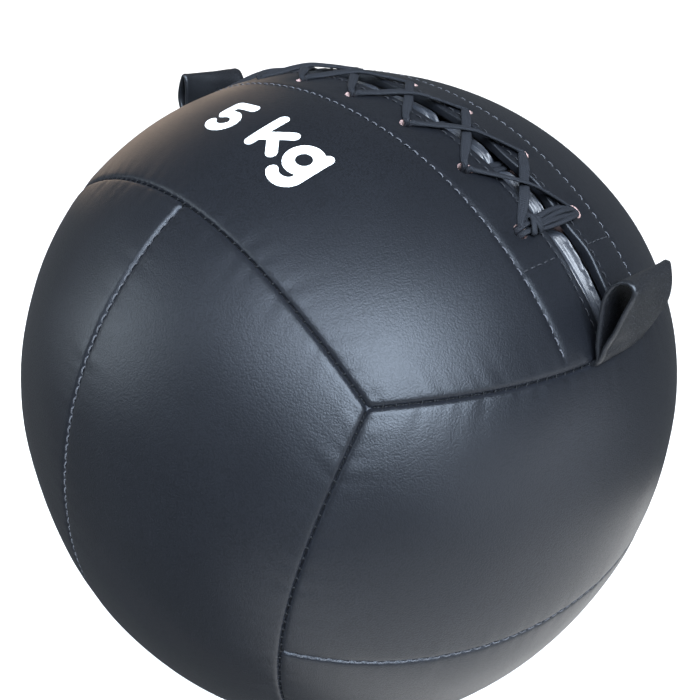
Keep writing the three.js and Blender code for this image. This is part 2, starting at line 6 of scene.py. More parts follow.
import bmesh
import bpy
import numpy as np
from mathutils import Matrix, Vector


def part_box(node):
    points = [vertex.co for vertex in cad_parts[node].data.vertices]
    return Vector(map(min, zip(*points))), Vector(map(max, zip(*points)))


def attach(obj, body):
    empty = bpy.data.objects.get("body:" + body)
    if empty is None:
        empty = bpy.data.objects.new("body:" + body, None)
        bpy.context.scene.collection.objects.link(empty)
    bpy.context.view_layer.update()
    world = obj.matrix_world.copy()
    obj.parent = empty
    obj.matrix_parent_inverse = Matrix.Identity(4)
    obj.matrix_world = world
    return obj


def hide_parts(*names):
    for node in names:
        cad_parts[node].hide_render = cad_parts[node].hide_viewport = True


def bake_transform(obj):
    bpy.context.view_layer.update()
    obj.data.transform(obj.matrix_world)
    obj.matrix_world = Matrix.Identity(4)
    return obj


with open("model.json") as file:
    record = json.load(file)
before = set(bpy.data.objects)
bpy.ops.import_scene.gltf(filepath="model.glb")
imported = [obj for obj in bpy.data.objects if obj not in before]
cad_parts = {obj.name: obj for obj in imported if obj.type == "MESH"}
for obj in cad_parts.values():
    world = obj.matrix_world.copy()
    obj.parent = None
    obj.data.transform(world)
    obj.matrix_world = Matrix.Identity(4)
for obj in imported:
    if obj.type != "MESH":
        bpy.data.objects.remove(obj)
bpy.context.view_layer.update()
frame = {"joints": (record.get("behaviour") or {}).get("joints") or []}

JOINTS = {joint["name"]: joint for joint in frame["joints"]}

bl_info = {
    "name": "Soft Medicine Ball",
    "version": (1, 0, 0),
    "blender": (4, 5, 0),
    "location": "3D View > Sidebar > Medicine Ball",
    "description": "Builds a twelve-panel, laced soft medicine ball around its frame",
    "category": "Add Mesh",
}

MM = 0.001
X, Y, Z = np.eye(3)
SEAM_HALF = math.atan(math.sqrt(0.5))  # half the angle of one long seam
COVER_WALL = 2.7
LACE_PAIRS = 7
FLAP_REACH = 152.3
EDGE_ROW = 10.4
TACK_STATION = 115.5
TONGUE_DEPTH = 7.3
FACING_DEPTHS = (2.95, 4.1)
LACE_UNDER_DEPTH = 5.7
FACING_REACH = 143             # half a facing strip's length
TONGUE_REACH = 154             # half the tongue's length
DEEPEST_DROP = 2.5             # of the leather into a seam
MOUTH_ROLL = 1.15              # radius of a flap's rounded edge
PARALLEL_ROWS = (36, 62)       # where a flap's mesh rows begin and end to leave the closure's line
CAMERA_SPOT = (0.22298, -0.24780, 0.41706)
CAMERA_TURNS = (52.964, -6.706, 46.812)  # about X, Y and Z, in degrees

# Squares of the cover: face, the way its split runs, the way across, its halves, its split's thread.
SQUARES = [
    (Z, X, Y, ("panel_top_back", "panel_top_front"), None),
    (-Z, X, Y, ("panel_bottom_back", "panel_bottom_front"), "seam_thread_bottom_split"),
    (-Y, Z, X, ("panel_front_right", "panel_front_left"), "seam_thread_front_split"),
    (Y, Z, X, ("panel_back_right", "panel_back_left"), "seam_thread_back_split"),
    (X, Y, Z, ("panel_right_upper", "panel_right_lower"), "seam_thread_right_split"),
    (-X, Y, Z, ("panel_left_upper", "panel_left_lower"), "seam_thread_left_split"),
]
# Long seams: name, the square whose split meets it, the other square, the way it runs.
LONG_SEAMS = [
    ("seam_thread_top_right", Z, X, Y), ("seam_thread_top_left", Z, -X, Y),
    ("seam_thread_bottom_right", -Z, X, Y), ("seam_thread_bottom_left", -Z, -X, Y),
    ("seam_thread_top_front", -Y, Z, X), ("seam_thread_top_back", Y, Z, X),
    ("seam_thread_bottom_front", -Y, -Z, X), ("seam_thread_bottom_back", Y, -Z, X),
    ("seam_thread_front_right", X, -Y, Z), ("seam_thread_back_right", X, Y, Z),
    ("seam_thread_front_left", -X, -Y, Z), ("seam_thread_back_left", -X, Y, Z),
]


# ---------------------------------------------------------------- settings


def size(name, description, default, **limits):
    """A length in metres, from a default in millimetres."""
    return bpy.props.FloatProperty(
        name=name, description=description, default=default * MM, subtype="DISTANCE", unit="LENGTH",
        precision=4, **limits)


def share(name, description, default, low=0.0, high=1.0):
    return bpy.props.FloatProperty(name=name, description=description, default=default, min=low, max=high)


def tint(name, description, default):
    return bpy.props.FloatVectorProperty(
        name=name, description=description, default=default, size=3, subtype="COLOR", min=0, max=1)


class MEDBALL_PG_cover(bpy.types.PropertyGroup):
    """The ball and its leather panels"""

    diameter: size("Diameter", "Mean size over the cover", 350)
    rest_depth: size("Rest depth", "How far the resting side is pressed flat", 7)
    swell: share("Squareness", "How much the cover swells at its eight corners", 0.05)
    seam_bow: bpy.props.FloatProperty(
        name="Seam bow", description="How far each long seam bows at its middle",
        default=math.radians(6.9), subtype="ANGLE")
    seam_wave: bpy.props.FloatProperty(
        name="Seam wave", description="Second term of the bow", default=math.radians(1.0), subtype="ANGLE")
    stitch_pitch: size("Seam stitch", "From one seam stitch to the next", 4.6)
    facet: size("Facet", "Size of the leather's facets", 1.55)
    leather: tint("Leather", "Colour of the cover leather", (0.0072, 0.0083, 0.0112))
    roughness: share("Roughness", "Roughness of the cover leather", 0.39)
    grain: size("Grain depth", "Depth of the leather's pebble grain", 0.095)


class MEDBALL_PG_closure(bpy.types.PropertyGroup):
    """The laced closure on top"""

    mouth: size("Mouth", "Width between the two flap edges", 14)
    hole_pitch: size("Hole pitch", "From one pair of lace holes to the next", 33.6)
    hole_gauge: size("Hole gauge", "Across the closure, hole centre to hole centre", 37.6)
    hole: size("Hole", "Diameter of a lace hole", 6.4)
    bow: size("Bow", "How far the closure's middle is drawn to the front", 6)
    row_gauge: size("Topstitch gauge", "Between the two outer rows of stitching", 62)
    stitch: size("Topstitch", "From one topstitch to the next", 4.9)
    lace_width: size("Lace width", "Width of the flat woven lace", 4.3)
    lace_thickness: size("Lace thickness", "Thickness of the flat woven lace", 1.3)
    lace_colour: tint("Lace", "Colour of the lace", (0.0110, 0.0125, 0.0160))
    tongue_colour: tint("Tongue", "Colour of the tongue leather", (0.022, 0.026, 0.034))
    stitch_colour: tint("Topstitch thread", "Colour of the topstitching", (0.075, 0.080, 0.094))
    cut_colour: tint("Cut edge", "Colour of the raw edges in the lace holes", (0.72, 0.52, 0.50))
    web_colour: tint("Facing", "Colour of the woven facing", (0.03, 0.031, 0.035))


class MEDBALL_PG_strap(bpy.types.PropertyGroup):
    """The two strap loops"""

    width: size("Width", "Width of the strap", 36)
    thickness: size("Thickness", "Thickness of the folded strap", 1.7)
    colour: tint("Strap", "Colour of the strap leather", (0.0120, 0.0130, 0.0155))


class MEDBALL_PG_mark(bpy.types.PropertyGroup):
    """The printed weight"""

    height: size("Height", "Height of the figure", 22.5)
    stroke: size("Stroke", "Width of a stroke", 5.0)
    along: size("Start", "Left end of the mark, along the closure", -37.5)
    baseline: size("Baseline", "Distance of the baseline from the closure", 82)
    stretch: share("Stretch", "How much wider than drawn", 1.1, 0.5, 2)
    ink: tint("Ink", "Colour of the print", (0.82, 0.88, 0.90))


class MEDBALL_PG_stage(bpy.types.PropertyGroup):
    """Floor, lights and camera"""

    floor: tint("Floor", "Colour of the floor", (0.93, 0.93, 0.93))
    surround: share("Surround", "Brightness of the surroundings", 0.19, 0, 4)
    key: share("Key light", "Power of the key light in watts", 50, 0, 500)
    bounce: share("Bounce", "Power thrown up by the floor in front, in watts", 2.6, 0, 50)
    overhead: share("Overhead", "Strength of the even light from above", 3.0, 0, 20)
    lens: bpy.props.FloatProperty(name="Lens", description="Focal length on a 36 mm sensor", default=36.41,
                                  unit="CAMERA")


# ---------------------------------------------------------------- shader maths


class Socket:
    """One output of a node. Arithmetic on it adds Math nodes."""

    def __init__(self, finish, output):
        self.finish, self.output = finish, output

    def maths(self, operation, *terms):
        return self.finish.node("ShaderNodeMath", {"operation": operation}, dict(enumerate(terms)))

    def __add__(self, other):
        return self.maths("ADD", self, other)

    def __sub__(self, other):
        return self.maths("SUBTRACT", self, other)

    def __rsub__(self, other):
        return self.maths("SUBTRACT", other, self)

    def __mul__(self, other):
        return self.maths("MULTIPLY", self, other)

    __radd__, __rmul__ = __add__, __mul__

    def sine(self):
        return self.maths("SINE", self)

    def size(self):
        return self.maths("ABSOLUTE", self)

    def most(self, other):
        return self.maths("MAXIMUM", self, other)


class Finish:
    """One material, built node by node around its shader."""

    def __init__(self, name, **constants):
        self.material = bpy.data.materials.new(name)
        self.material.use_nodes = True
        self.tree = self.material.node_tree
        self.shader = next(n for n in self.tree.nodes if n.type == "BSDF_PRINCIPLED")
        for socket, value in constants.items():
            self.shader.inputs[socket.replace("_", " ")].default_value = value

    def node(self, kind, settings=None, sockets=None, output=0):
        """Adds a node: its settings first, then the values or links of its sockets."""
        made = self.tree.nodes.new(kind)
        for name, value in (settings or {}).items():
            if name == "stops":
                ramp = made.color_ramp
                while len(ramp.elements) < len(value):
                    ramp.elements.new(1.0)
                for element, (place, level) in zip(ramp.elements, value):
                    element.position, element.color = place, (level, level, level, 1)
            else:
                setattr(made, name, value)
        for key, value in (sockets or {}).items():
            if isinstance(value, Socket):
                self.tree.links.new(value.output, made.inputs[key])
            else:
                made.inputs[key].default_value = value
        return Socket(self, made.outputs[output])

    def drive(self, **links):
        """Links what varies over the surface to the shader."""
        for socket, value in links.items():
            self.tree.links.new(value.output, self.shader.inputs[socket.replace("_", " ")])
        return self.material

    def place(self):
        return self.node("ShaderNodeTexCoord", output="Object")

    def noise(self, where, scale, detail=2.0, roughness=0.5):
        return self.node("ShaderNodeTexNoise", None, {
            "Vector": where, "Scale": scale, "Detail": detail, "Roughness": roughness})

    def ramp(self, value, *stops):
        return self.node("ShaderNodeValToRGB", {"stops": stops}, {"Fac": value})

    def blend(self, factor, first, second):
        colours = [c if isinstance(c, Socket) else (*c, 1) for c in (first, second)]
        return self.node("ShaderNodeMix", {"data_type": "RGBA"}, {0: factor, 6: colours[0], 7: colours[1]},
                         output=2)

    def bump(self, height, depth, strength=1.0, normal=None):
        sockets = {"Height": height, "Distance": depth, "Strength": strength}
        if normal:
            sockets["Normal"] = normal
        return self.node("ShaderNodeBump", None, sockets)


def shade(colour, factor):
    return tuple(min(1.0, c * factor) for c in colour)


def leather(name, colour, roughness, grain, pebble=1450, **constants):
    """Pebble-grained coated leather, with faint creases and rubbed places, painted shade in the pebbles'
    valleys and a painted highlight beside the seams.
    """
    f = Finish(name, Specular_IOR_Level=0.40, Specular_Tint=(0.84, 0.91, 1.0, 1), **constants)
    where = f.place()
    warp = f.node("ShaderNodeVectorMath", {"operation": "MULTIPLY_ADD"}, {
        0: f.node("ShaderNodeTexNoise", None, {"Vector": where, "Scale": 300.0}, output="Color"),
        1: (0.0009,) * 3, 2: where})
    cell = f.node("ShaderNodeTexVoronoi", {"feature": "SMOOTH_F1"},
                  {"Vector": warp, "Scale": pebble, "Smoothness": 0.35})
    fine = f.noise(where, 3600.0, 3.0, 0.6)
    crease = f.noise(where, 640.0, 5.0, 0.68)
    cloud = f.noise(where, 11.0, 3.0, 0.55)
    seam = f.node("ShaderNodeAttribute", {"attribute_name": "seam_near"}, output="Fac")
    pebbles = f.ramp(cell, (0.0, 1.0), (0.35, 0.82), (0.75, 0.0))
    height = pebbles * 0.34 + fine * 0.34 + crease * 0.42
    rubbed = f.ramp(cloud, (0.35, 0.0), (0.7, 1.0))
    tone = f.blend(rubbed, shade(colour, 0.86), shade(colour, 1.22))
    # Painted shade: the valleys between the pebbles are darkened to 0.55 of the colour.
    painted_valley_shade = f.blend(pebbles, shade(colour, 0.55), tone)
    # Painted highlight: a thin band of the leather beside each seam is made lighter, where the panel edges
    # catch the light.
    seam_edge_highlight = f.ramp(seam, (0.0, 0.0), (0.5, 0.0), (0.86, 0.55), (1.0, 0.1))
    return f.drive(
        Base_Color=f.blend(seam_edge_highlight, painted_valley_shade, shade(colour, 2.6)),
        Roughness=roughness - 0.05 + rubbed * 0.07 - pebbles * 0.05 + crease * 0.06,
        Normal=f.bump(height, grain),
    )


def weave(f, around, along, count):
    """Height of a braid of strands, from a strand map in millimetres along and turns around."""
    spot = f.node("ShaderNodeSeparateXYZ", None, {0: f.node("ShaderNodeUVMap", {"uv_map": "strand"})})
    across = f.node("ShaderNodeSeparateXYZ", None, {0: f.node("ShaderNodeUVMap", {"uv_map": "strand"})},
                    output=1)
    one = (spot * (math.pi / along) + across * (math.pi * around)).sine().size()
    other = (spot * (math.pi / along) - across * (math.pi * around)).sine().size()
    fibre = f.noise(f.place(), 5200.0, 2.0, 0.6)
    return one.most(other * (0.0 if count == 1 else 1.0)), fibre


def thread(name, colour, along, around=3.0, count=2, roughness=0.72, depth=0.16 * MM, **constants):
    """Twisted or braided yarn."""
    f = Finish(name, Specular_IOR_Level=0.25, Specular_Tint=(0.84, 0.91, 1.0, 1), **constants)
    yarn, fibre = weave(f, around, along, count)
    height = yarn * 0.75 + fibre * 0.25
    # Colour follows the yarn's height: painted shade in the grooves between strands and painted light on their
    # crowns.
    return f.drive(
        Base_Color=f.blend(height, shade(colour, 0.45), shade(colour, 1.5)),
        Roughness=roughness - yarn * 0.14 + fibre * 0.1,
        Normal=f.bump(height, depth),
    )


def cloth(name, colour, pitch, depth, roughness=0.85, soil=0.12):
    """Plain-woven cloth, mapped by place, so that it needs no strand map."""
    f = Finish(name, Specular_IOR_Level=0.3, Sheen_Weight=0.2)
    where = f.place()
    count = math.pi / pitch
    x, y, z = (f.node("ShaderNodeSeparateXYZ", None, {0: where}, output=i) for i in range(3))
    warp = ((x + z * 0.6) * count).sine().size()
    weft = ((y - z * 0.7) * count).sine().size()
    slub = f.noise(where, 900.0, 3.0, 0.6)
    patch = f.noise(where, 24.0, 3.0, 0.6)
    height = warp.most(weft) * 0.8 + slub * 0.3
    # Colour: darker soil patches at random, and painted shade in the low places of the weave.
    return f.drive(
        Base_Color=f.blend(patch * soil * 4 + (1 - height) * 0.3, shade(colour, 1.1), shade(colour, 0.55)),
        Roughness=roughness + slub * 0.1 - 0.05,
        Normal=f.bump(height, depth),
    )


def granular(name, colours, scale, depth, roughness=0.9):
    """Fibre or grit: two colours mingled at a small scale."""
    f = Finish(name, Specular_IOR_Level=0.3)
    where = f.place()
    grain = f.node("ShaderNodeTexVoronoi", None, {"Vector": where, "Scale": scale})
    strands = f.noise(where, scale * 0.6, 5.0, 0.7)
    return f.drive(
        Base_Color=f.blend(strands, *colours),
        Roughness=roughness - 0.08 + strands * 0.15,
        Normal=f.bump(grain * 0.6 + strands, depth),
    )


# ---------------------------------------------------------------- the ball's surface, in millimetres


def unit(v):
    return v / np.linalg.norm(v, axis=-1, keepdims=True)


def ease(x):
    x = np.clip(x, 0, 1)
    return x * x * (3 - 2 * x)


class Ball:
    """The cover's surface and its seams."""

    def __init__(self, context):
        s, c = context.scene.medball_cover, context.scene.medball_closure
        self.radius, self.rest = s.diameter / 2 / MM, s.rest_depth / MM
        self.swell, self.bow, self.wave = s.swell, s.seam_bow, s.seam_wave
        self.pitch, self.facet = s.stitch_pitch / MM, s.facet / MM
        self.mouth, self.hole, self.closure_bow = c.mouth / 2 / MM, c.hole / MM, c.bow / MM
        self.row, self.outer_row = c.hole_gauge / 2 / MM, c.row_gauge / 2 / MM
        self.holes = (np.arange(LACE_PAIRS) - (LACE_PAIRS - 1) / 2) * (c.hole_pitch / MM)
        self.centre = np.array([0, 0, self.radius - self.rest])
        self.split_half = math.pi / 4 + self.bow
        draw = np.random.default_rng(11)
        lengths = draw.uniform(26, 120, 22)
        self.waves = unit(draw.normal(size=(22, 3))) * (2 * np.pi / lengths)[:, None]
        self.phases = draw.uniform(0, 2 * np.pi, 22)
        self.swells = lengths / 120 * 0.16
        # Arc lengths from the middle of a long seam and of a split, at each parameter.
        self.u = np.linspace(-1, 1, 801)
        self.seam_arc = self.arc(self.seam(X, Y, Z, self.u))
        self.split_arc = self.arc(self.split(Z, X, self.u))

    def arc(self, ways):
        step = np.linalg.norm(np.diff(self.point(ways), axis=0), axis=1)
        run = np.concatenate([[0], np.cumsum(step)])
        return run - run[len(run) // 2]

    def reach(self, way, depth=0.0):
        z = way[..., 2]
        free = self.radius * (1 + self.swell * (0.6 - (way ** 4).sum(-1))) - depth
        flat = (self.radius - self.rest - depth) / np.maximum(-z, 1e-6)
        return np.where(z < 0, np.minimum(free, flat), free)

    def point(self, way, depth=0.0):
        return way * self.reach(way, depth)[..., None] + self.centre

    def drawn(self, along):
        """How far the closure is drawn to the front, along its length."""
        return self.closure_bow * np.maximum(0, 1 - (along / (self.radius * self.split_half)) ** 2)

    def top_way(self, along, across):
        a, b = along / self.radius, (across - self.drawn(along)) / self.radius
        return np.stack([np.sin(a) * np.cos(b), np.sin(b) + 0 * a, np.cos(a) * np.cos(b)], -1)

    def seam(self, split, other, length, t):
        t = np.asarray(t, float)[..., None]
        bow = -self.bow * (1 - t * t) + self.wave * (1 - t * t) * t * t
        along = unit(split + other) * np.cos(t * SEAM_HALF) + length * np.sin(t * SEAM_HALF)
        return unit(along * np.cos(bow) + unit(split - other) * np.sin(bow))

    def split(self, face, run, s):
        a = np.asarray(s, float)[..., None] * self.split_half
        return face * np.cos(a) + run * np.sin(a)

    def patch(self, face, run, across, s, t):
        s, t = np.broadcast_arrays(s, t)
        u, v = ((s + 1) / 2)[..., None], t[..., None]
        laced = face is Z
        near = self.top_way(s * self.radius * self.split_half, 0.0) if laced else self.split(face, run, s)
        far = self.seam(across, face, run, s)
        low, high = self.seam(face, -run, across, t), self.seam(face, run, across, t)
        ends = [np.array(e) for e in (
            self.split(face, run, -1.0), self.split(face, run, 1.0),
            self.seam(across, face, run, -1.0), self.seam(across, face, run, 1.0))]
        return unit(near * (1 - v) + far * v + low * (1 - u) + high * u
                    - (ends[0] * (1 - u) + ends[1] * u) * (1 - v) - (ends[2] * (1 - u) + ends[3] * u) * v)

    def skin(self, way):
        """How far the filled leather stands from the plain surface."""
        p = way * self.radius
        rise = (np.sin(p @ self.waves.T + self.phases) * self.swells).sum(-1) * 0.55
        along = np.arctan2(way[..., 0], way[..., 2]) * self.radius
        across = np.arcsin(np.clip(way[..., 1], -1, 1)) * self.radius + self.drawn(along)
        top = (way[..., 2] > 0.35) & (np.abs(along) < FLAP_REACH + 6)
        side = np.abs(across)
        # Two layers inside the outer rows, drawn down along the stitching and at the holes.
        lift = 0.26 * ease((self.outer_row + 0.8 - side) / 3.0)
        lift = lift - 0.30 * np.exp(-((side - self.outer_row) / 1.3) ** 2)
        lift = lift - 0.30 * np.exp(-((side - EDGE_ROW) / 1.0) ** 2)
        tacked = ease((side - EDGE_ROW) / 1.5) * ease((self.outer_row - side) / 1.5)
        lift = lift - 0.35 * tacked * np.exp(-((np.abs(along) - TACK_STATION) / 1.5) ** 2)
        for x in self.holes:
            gap = (along - x) ** 2 + (side - self.row) ** 2
            lift = lift - 0.95 * np.exp(-gap / 30.0)
            lift = lift + 0.75 * np.exp(-(((along - x - 16.8) / 8.0) ** 2)
                                        - ((side - self.mouth) / 5.0) ** 2)
        return rise + np.where(top, lift * ease((FLAP_REACH + 4 - np.abs(along)) / 8), 0)

    def on_top(self, along, across, height=0.0):
        """A point over the top of the ball, at a height above the leather."""
        way = self.top_way(np.asarray(along, float), np.asarray(across, float))
        return self.point(way, -(self.skin(way) + height))

    def in_top(self, along, across, depth):
        """A point under the top of the ball, at a depth below its plain surface."""
        return self.point(self.top_way(np.asarray(along, float), np.asarray(across, float)), depth)

    def by_height(self, along, across, height):
        """Above the leather, or below the plain surface when the height is negative."""
        place, reach = (self.on_top, height) if height > 0 else (self.in_top, -height)
        return place(along, across, reach)


# ---------------------------------------------------------------- mesh building


class Piece:
    """Collects the surfaces of one piece, in millimetres."""

    def __init__(self, name):
        self.name, self.points, self.faces, self.maps, self.count = name, [], [], [], 0
        self.near = []

    def grid(self, points, wrap=False, mapping=None, near=None):
        """A grid of quads; wrap closes its second way. Returns the corners' numbers."""
        n, m = points.shape[:2]
        at = self.count + np.arange(n * m).reshape(n, m)
        ring = np.concatenate([at, at[:, :1]], 1) if wrap else at
        quads = np.stack([ring[:-1, :-1], ring[1:, :-1], ring[1:, 1:], ring[:-1, 1:]], -1).reshape(-1, 4)
        self.points.append(points.reshape(-1, 3))
        self.near.append(np.zeros(n * m) if near is None else near.ravel())
        self.faces.extend(quads.tolist())
        if mapping is None:
            mapping = np.zeros((n, ring.shape[1], 2))
        corners = np.stack([mapping[:-1, :-1], mapping[1:, :-1], mapping[1:, 1:], mapping[:-1, 1:]], -2)
        self.maps.extend(corners.reshape(-1, 2).tolist())
        self.count += n * m
        return at

    def face(self, corners):
        self.faces.append([int(c) for c in corners])
        self.maps.extend([[0.0, 0.0]] * len(corners))

    def shell(self, outer, inner, near=None):
        """A closed slab between two grids."""
        m = outer.shape[1]
        at = self.grid(np.concatenate([outer, inner[:, ::-1]], 1), wrap=True,
                       near=None if near is None else np.concatenate([near, 0 * near], 1))
        for row in (at[0], at[-1]):
            for j in range(m - 1):
                self.face((row[j], row[j + 1], row[2 * m - 2 - j], row[2 * m - 1 - j]))

    def capped(self, rings, mapping=None):
        """A closed tube through rings, its two ends capped."""
        at = self.grid(rings, wrap=True, mapping=mapping)
        self.face(at[0])
        self.face(at[-1][::-1])

    def strand(self, path, side, width, thickness, around=10, corner=2.0):
        """A closed strand along a path, its width lying along side."""
        path = np.asarray(path, float)
        n = len(path)
        tangent = unit(np.gradient(path, axis=0))
        side = np.broadcast_to(side, path.shape)
        side = unit(side - (side * tangent).sum(-1, keepdims=True) * tangent)
        up = np.cross(tangent, side)
        angle = np.linspace(0, 2 * np.pi, around, endpoint=False)
        c, s = np.cos(angle), np.sin(angle)
        cx, sy = np.sign(c) * np.abs(c) ** (2 / corner), np.sign(s) * np.abs(s) ** (2 / corner)
        half_w = np.broadcast_to(width, (n,))[:, None, None] / 2
        half_t = np.broadcast_to(thickness, (n,))[:, None, None] / 2
        ring = path[:, None] + side[:, None] * cx[None, :, None] * half_w + up[:, None] * sy[None, :,
            None] * half_t
        run = np.concatenate([[0], np.cumsum(np.linalg.norm(np.diff(path, axis=0), axis=1))])
        mapping = np.stack(np.broadcast_arrays(run[:, None], np.linspace(0, 1, around + 1)[None, :]), -1)
        self.capped(ring, mapping)

    def make(self, finishes, sharp=50):
        mesh = bpy.data.meshes.new(self.name)
        mesh.from_pydata((np.concatenate(self.points) * MM).tolist(), [], self.faces)
        mesh.uv_layers.new(name="strand").uv.foreach_set("vector", np.array(self.maps, np.float32).ravel())
        near = mesh.attributes.new("seam_near", "FLOAT", "POINT")
        near.data.foreach_set("value", np.concatenate(self.near).astype(np.float32))
        work = bmesh.new()
        work.from_mesh(mesh)
        bmesh.ops.recalc_face_normals(work, faces=work.faces)
        work.to_mesh(mesh)
        work.free()
        made = bpy.data.objects.new(self.name, mesh)
        bpy.context.scene.collection.objects.link(made)
        for finish in finishes:
            mesh.materials.append(finish)
        mesh.shade_smooth()
        mesh.set_sharp_from_angle(angle=math.radians(sharp))
        return made


def settle(piece, body, slot, *nodes):
    """The piece rides on a body and stands for CAD nodes; the slot is not used."""
    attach(piece, body)
    if nodes:
        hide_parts(*nodes)
    return piece


def smooth_path(points, step, count=None):
    """An even, smooth path through points, of a number of points or a step."""
    points = np.asarray(points, float)
    padded = np.concatenate([[2 * points[0] - points[1]], points, [2 * points[-1] - points[-2]]])
    fine = []
    for a, b, c, d in zip(padded[:-3], padded[1:-2], padded[2:-1], padded[3:]):
        t = np.linspace(0, 1, 13)[:-1, None]
        fine.append(0.5 * (2 * b + (c - a) * t + (2 * a - 5 * b + 4 * c - d) * t ** 2
                           + (3 * b - a - 3 * c + d) * t ** 3))
    fine = np.concatenate([*fine, points[-1:]])
    run = np.concatenate([[0], np.cumsum(np.linalg.norm(np.diff(fine, axis=0), axis=1))])
    even = np.linspace(0, run[-1], count or max(4, int(run[-1] / step)))
    return np.stack([np.interp(even, run, fine[:, k]) for k in range(points.shape[1])], -1)


def cut_holes(piece, ball, side, lining):
    """Punches a row of lace holes through a piece; their walls take the lining's finish."""
    cutters = Piece("hole_cutters")
    for x in ball.holes:
        way = ball.top_way(np.float64(x), np.float64(side * ball.row))
        base = ball.point(way)
        right = unit(np.cross(Y, way))
        angle = np.linspace(0, 2 * np.pi, 28, endpoint=False)[None, :, None]
        ring = right * np.cos(angle) + np.cross(way, right) * np.sin(angle)
        ends = np.array([-14.0, 8.0])[:, None, None]
        cutters.capped(base + way * ends + ring * (ball.hole / 2))
    tool = cutters.make([lining])
    cut = piece.modifiers.new("holes", "BOOLEAN")
    cut.operation, cut.solver, cut.object = "DIFFERENCE", "EXACT", tool
    cut.material_mode = "TRANSFER"
    bpy.context.view_layer.update()
    solid = bpy.data.meshes.new_from_object(piece.evaluated_get(bpy.context.evaluated_depsgraph_get()))
    piece.modifiers.clear()
    piece.data = solid
    bpy.data.objects.remove(tool)
    solid.shade_smooth()
    solid.set_sharp_from_angle(angle=math.radians(50))
    if len(solid.polygons) < 200:
        raise RuntimeError(f"the lace holes ate {piece.name}")


# ---------------------------------------------------------------- cover

EDGE_STEPS = np.array([0.12, 0.32, 0.55, 0.8, 1.1, 1.5, 2.0, 2.7, 3.6, 4.8, 6.2])
MOUTH_STEPS = np.array([0.0, 0.02, 0.12, 0.3, 0.6, 1.0, 1.5, 2.1, 2.7, 3.1, 3.4, 3.7, 4.1, 4.8, 6.0, 7.4,
                        8.8, 10.2, 11.6, 13.0,
                        14.4, 15.8, 17.2, 18.6, 20.0, 21.4, 22.4, 23.1, 23.6, 24.0, 24.4, 24.9, 25.6, 26.8])


def stations(first, last, count, length):
    """Distances across a panel of each length: close at its two edges and even between."""
    inner = np.linspace(0, 1, count + 2)[1:-1, None]
    middle = first[-1] + inner * (length - first[-1] - last[-1])
    return np.concatenate([first[:, None] + 0 * length, middle, length - last[::-1, None]])


def seam_dip(distance, arc, pitch):
    """How the leather drops and is pulled in beside a stitched seam."""
    stitch = 0.5 + 0.5 * np.cos(2 * np.pi * arc / pitch)
    pull = (0.10 + 0.32 * stitch) * np.exp(-distance / 0.9) - 0.30 * (1 - stitch) * np.exp(-distance / 0.7)
    drop = 2.1 * np.exp(-(distance - 0.1) / 0.56) + 0.26 * np.exp(-distance
        / 1.9) + 0.20 * np.exp(-distance / 9)
    drop = drop + (0.34 * stitch - 0.08) * np.exp(-distance / 1.6)
    gather = (np.sin(arc / 1.83 + 0.7) + np.sin(arc / 1.21 + 2.0) + np.sin(arc / 2.9)) * 0.085
    drop = drop + gather * np.exp(-distance / 6.5) * (1 - np.exp(-distance / 1.5))
    return drop, pull


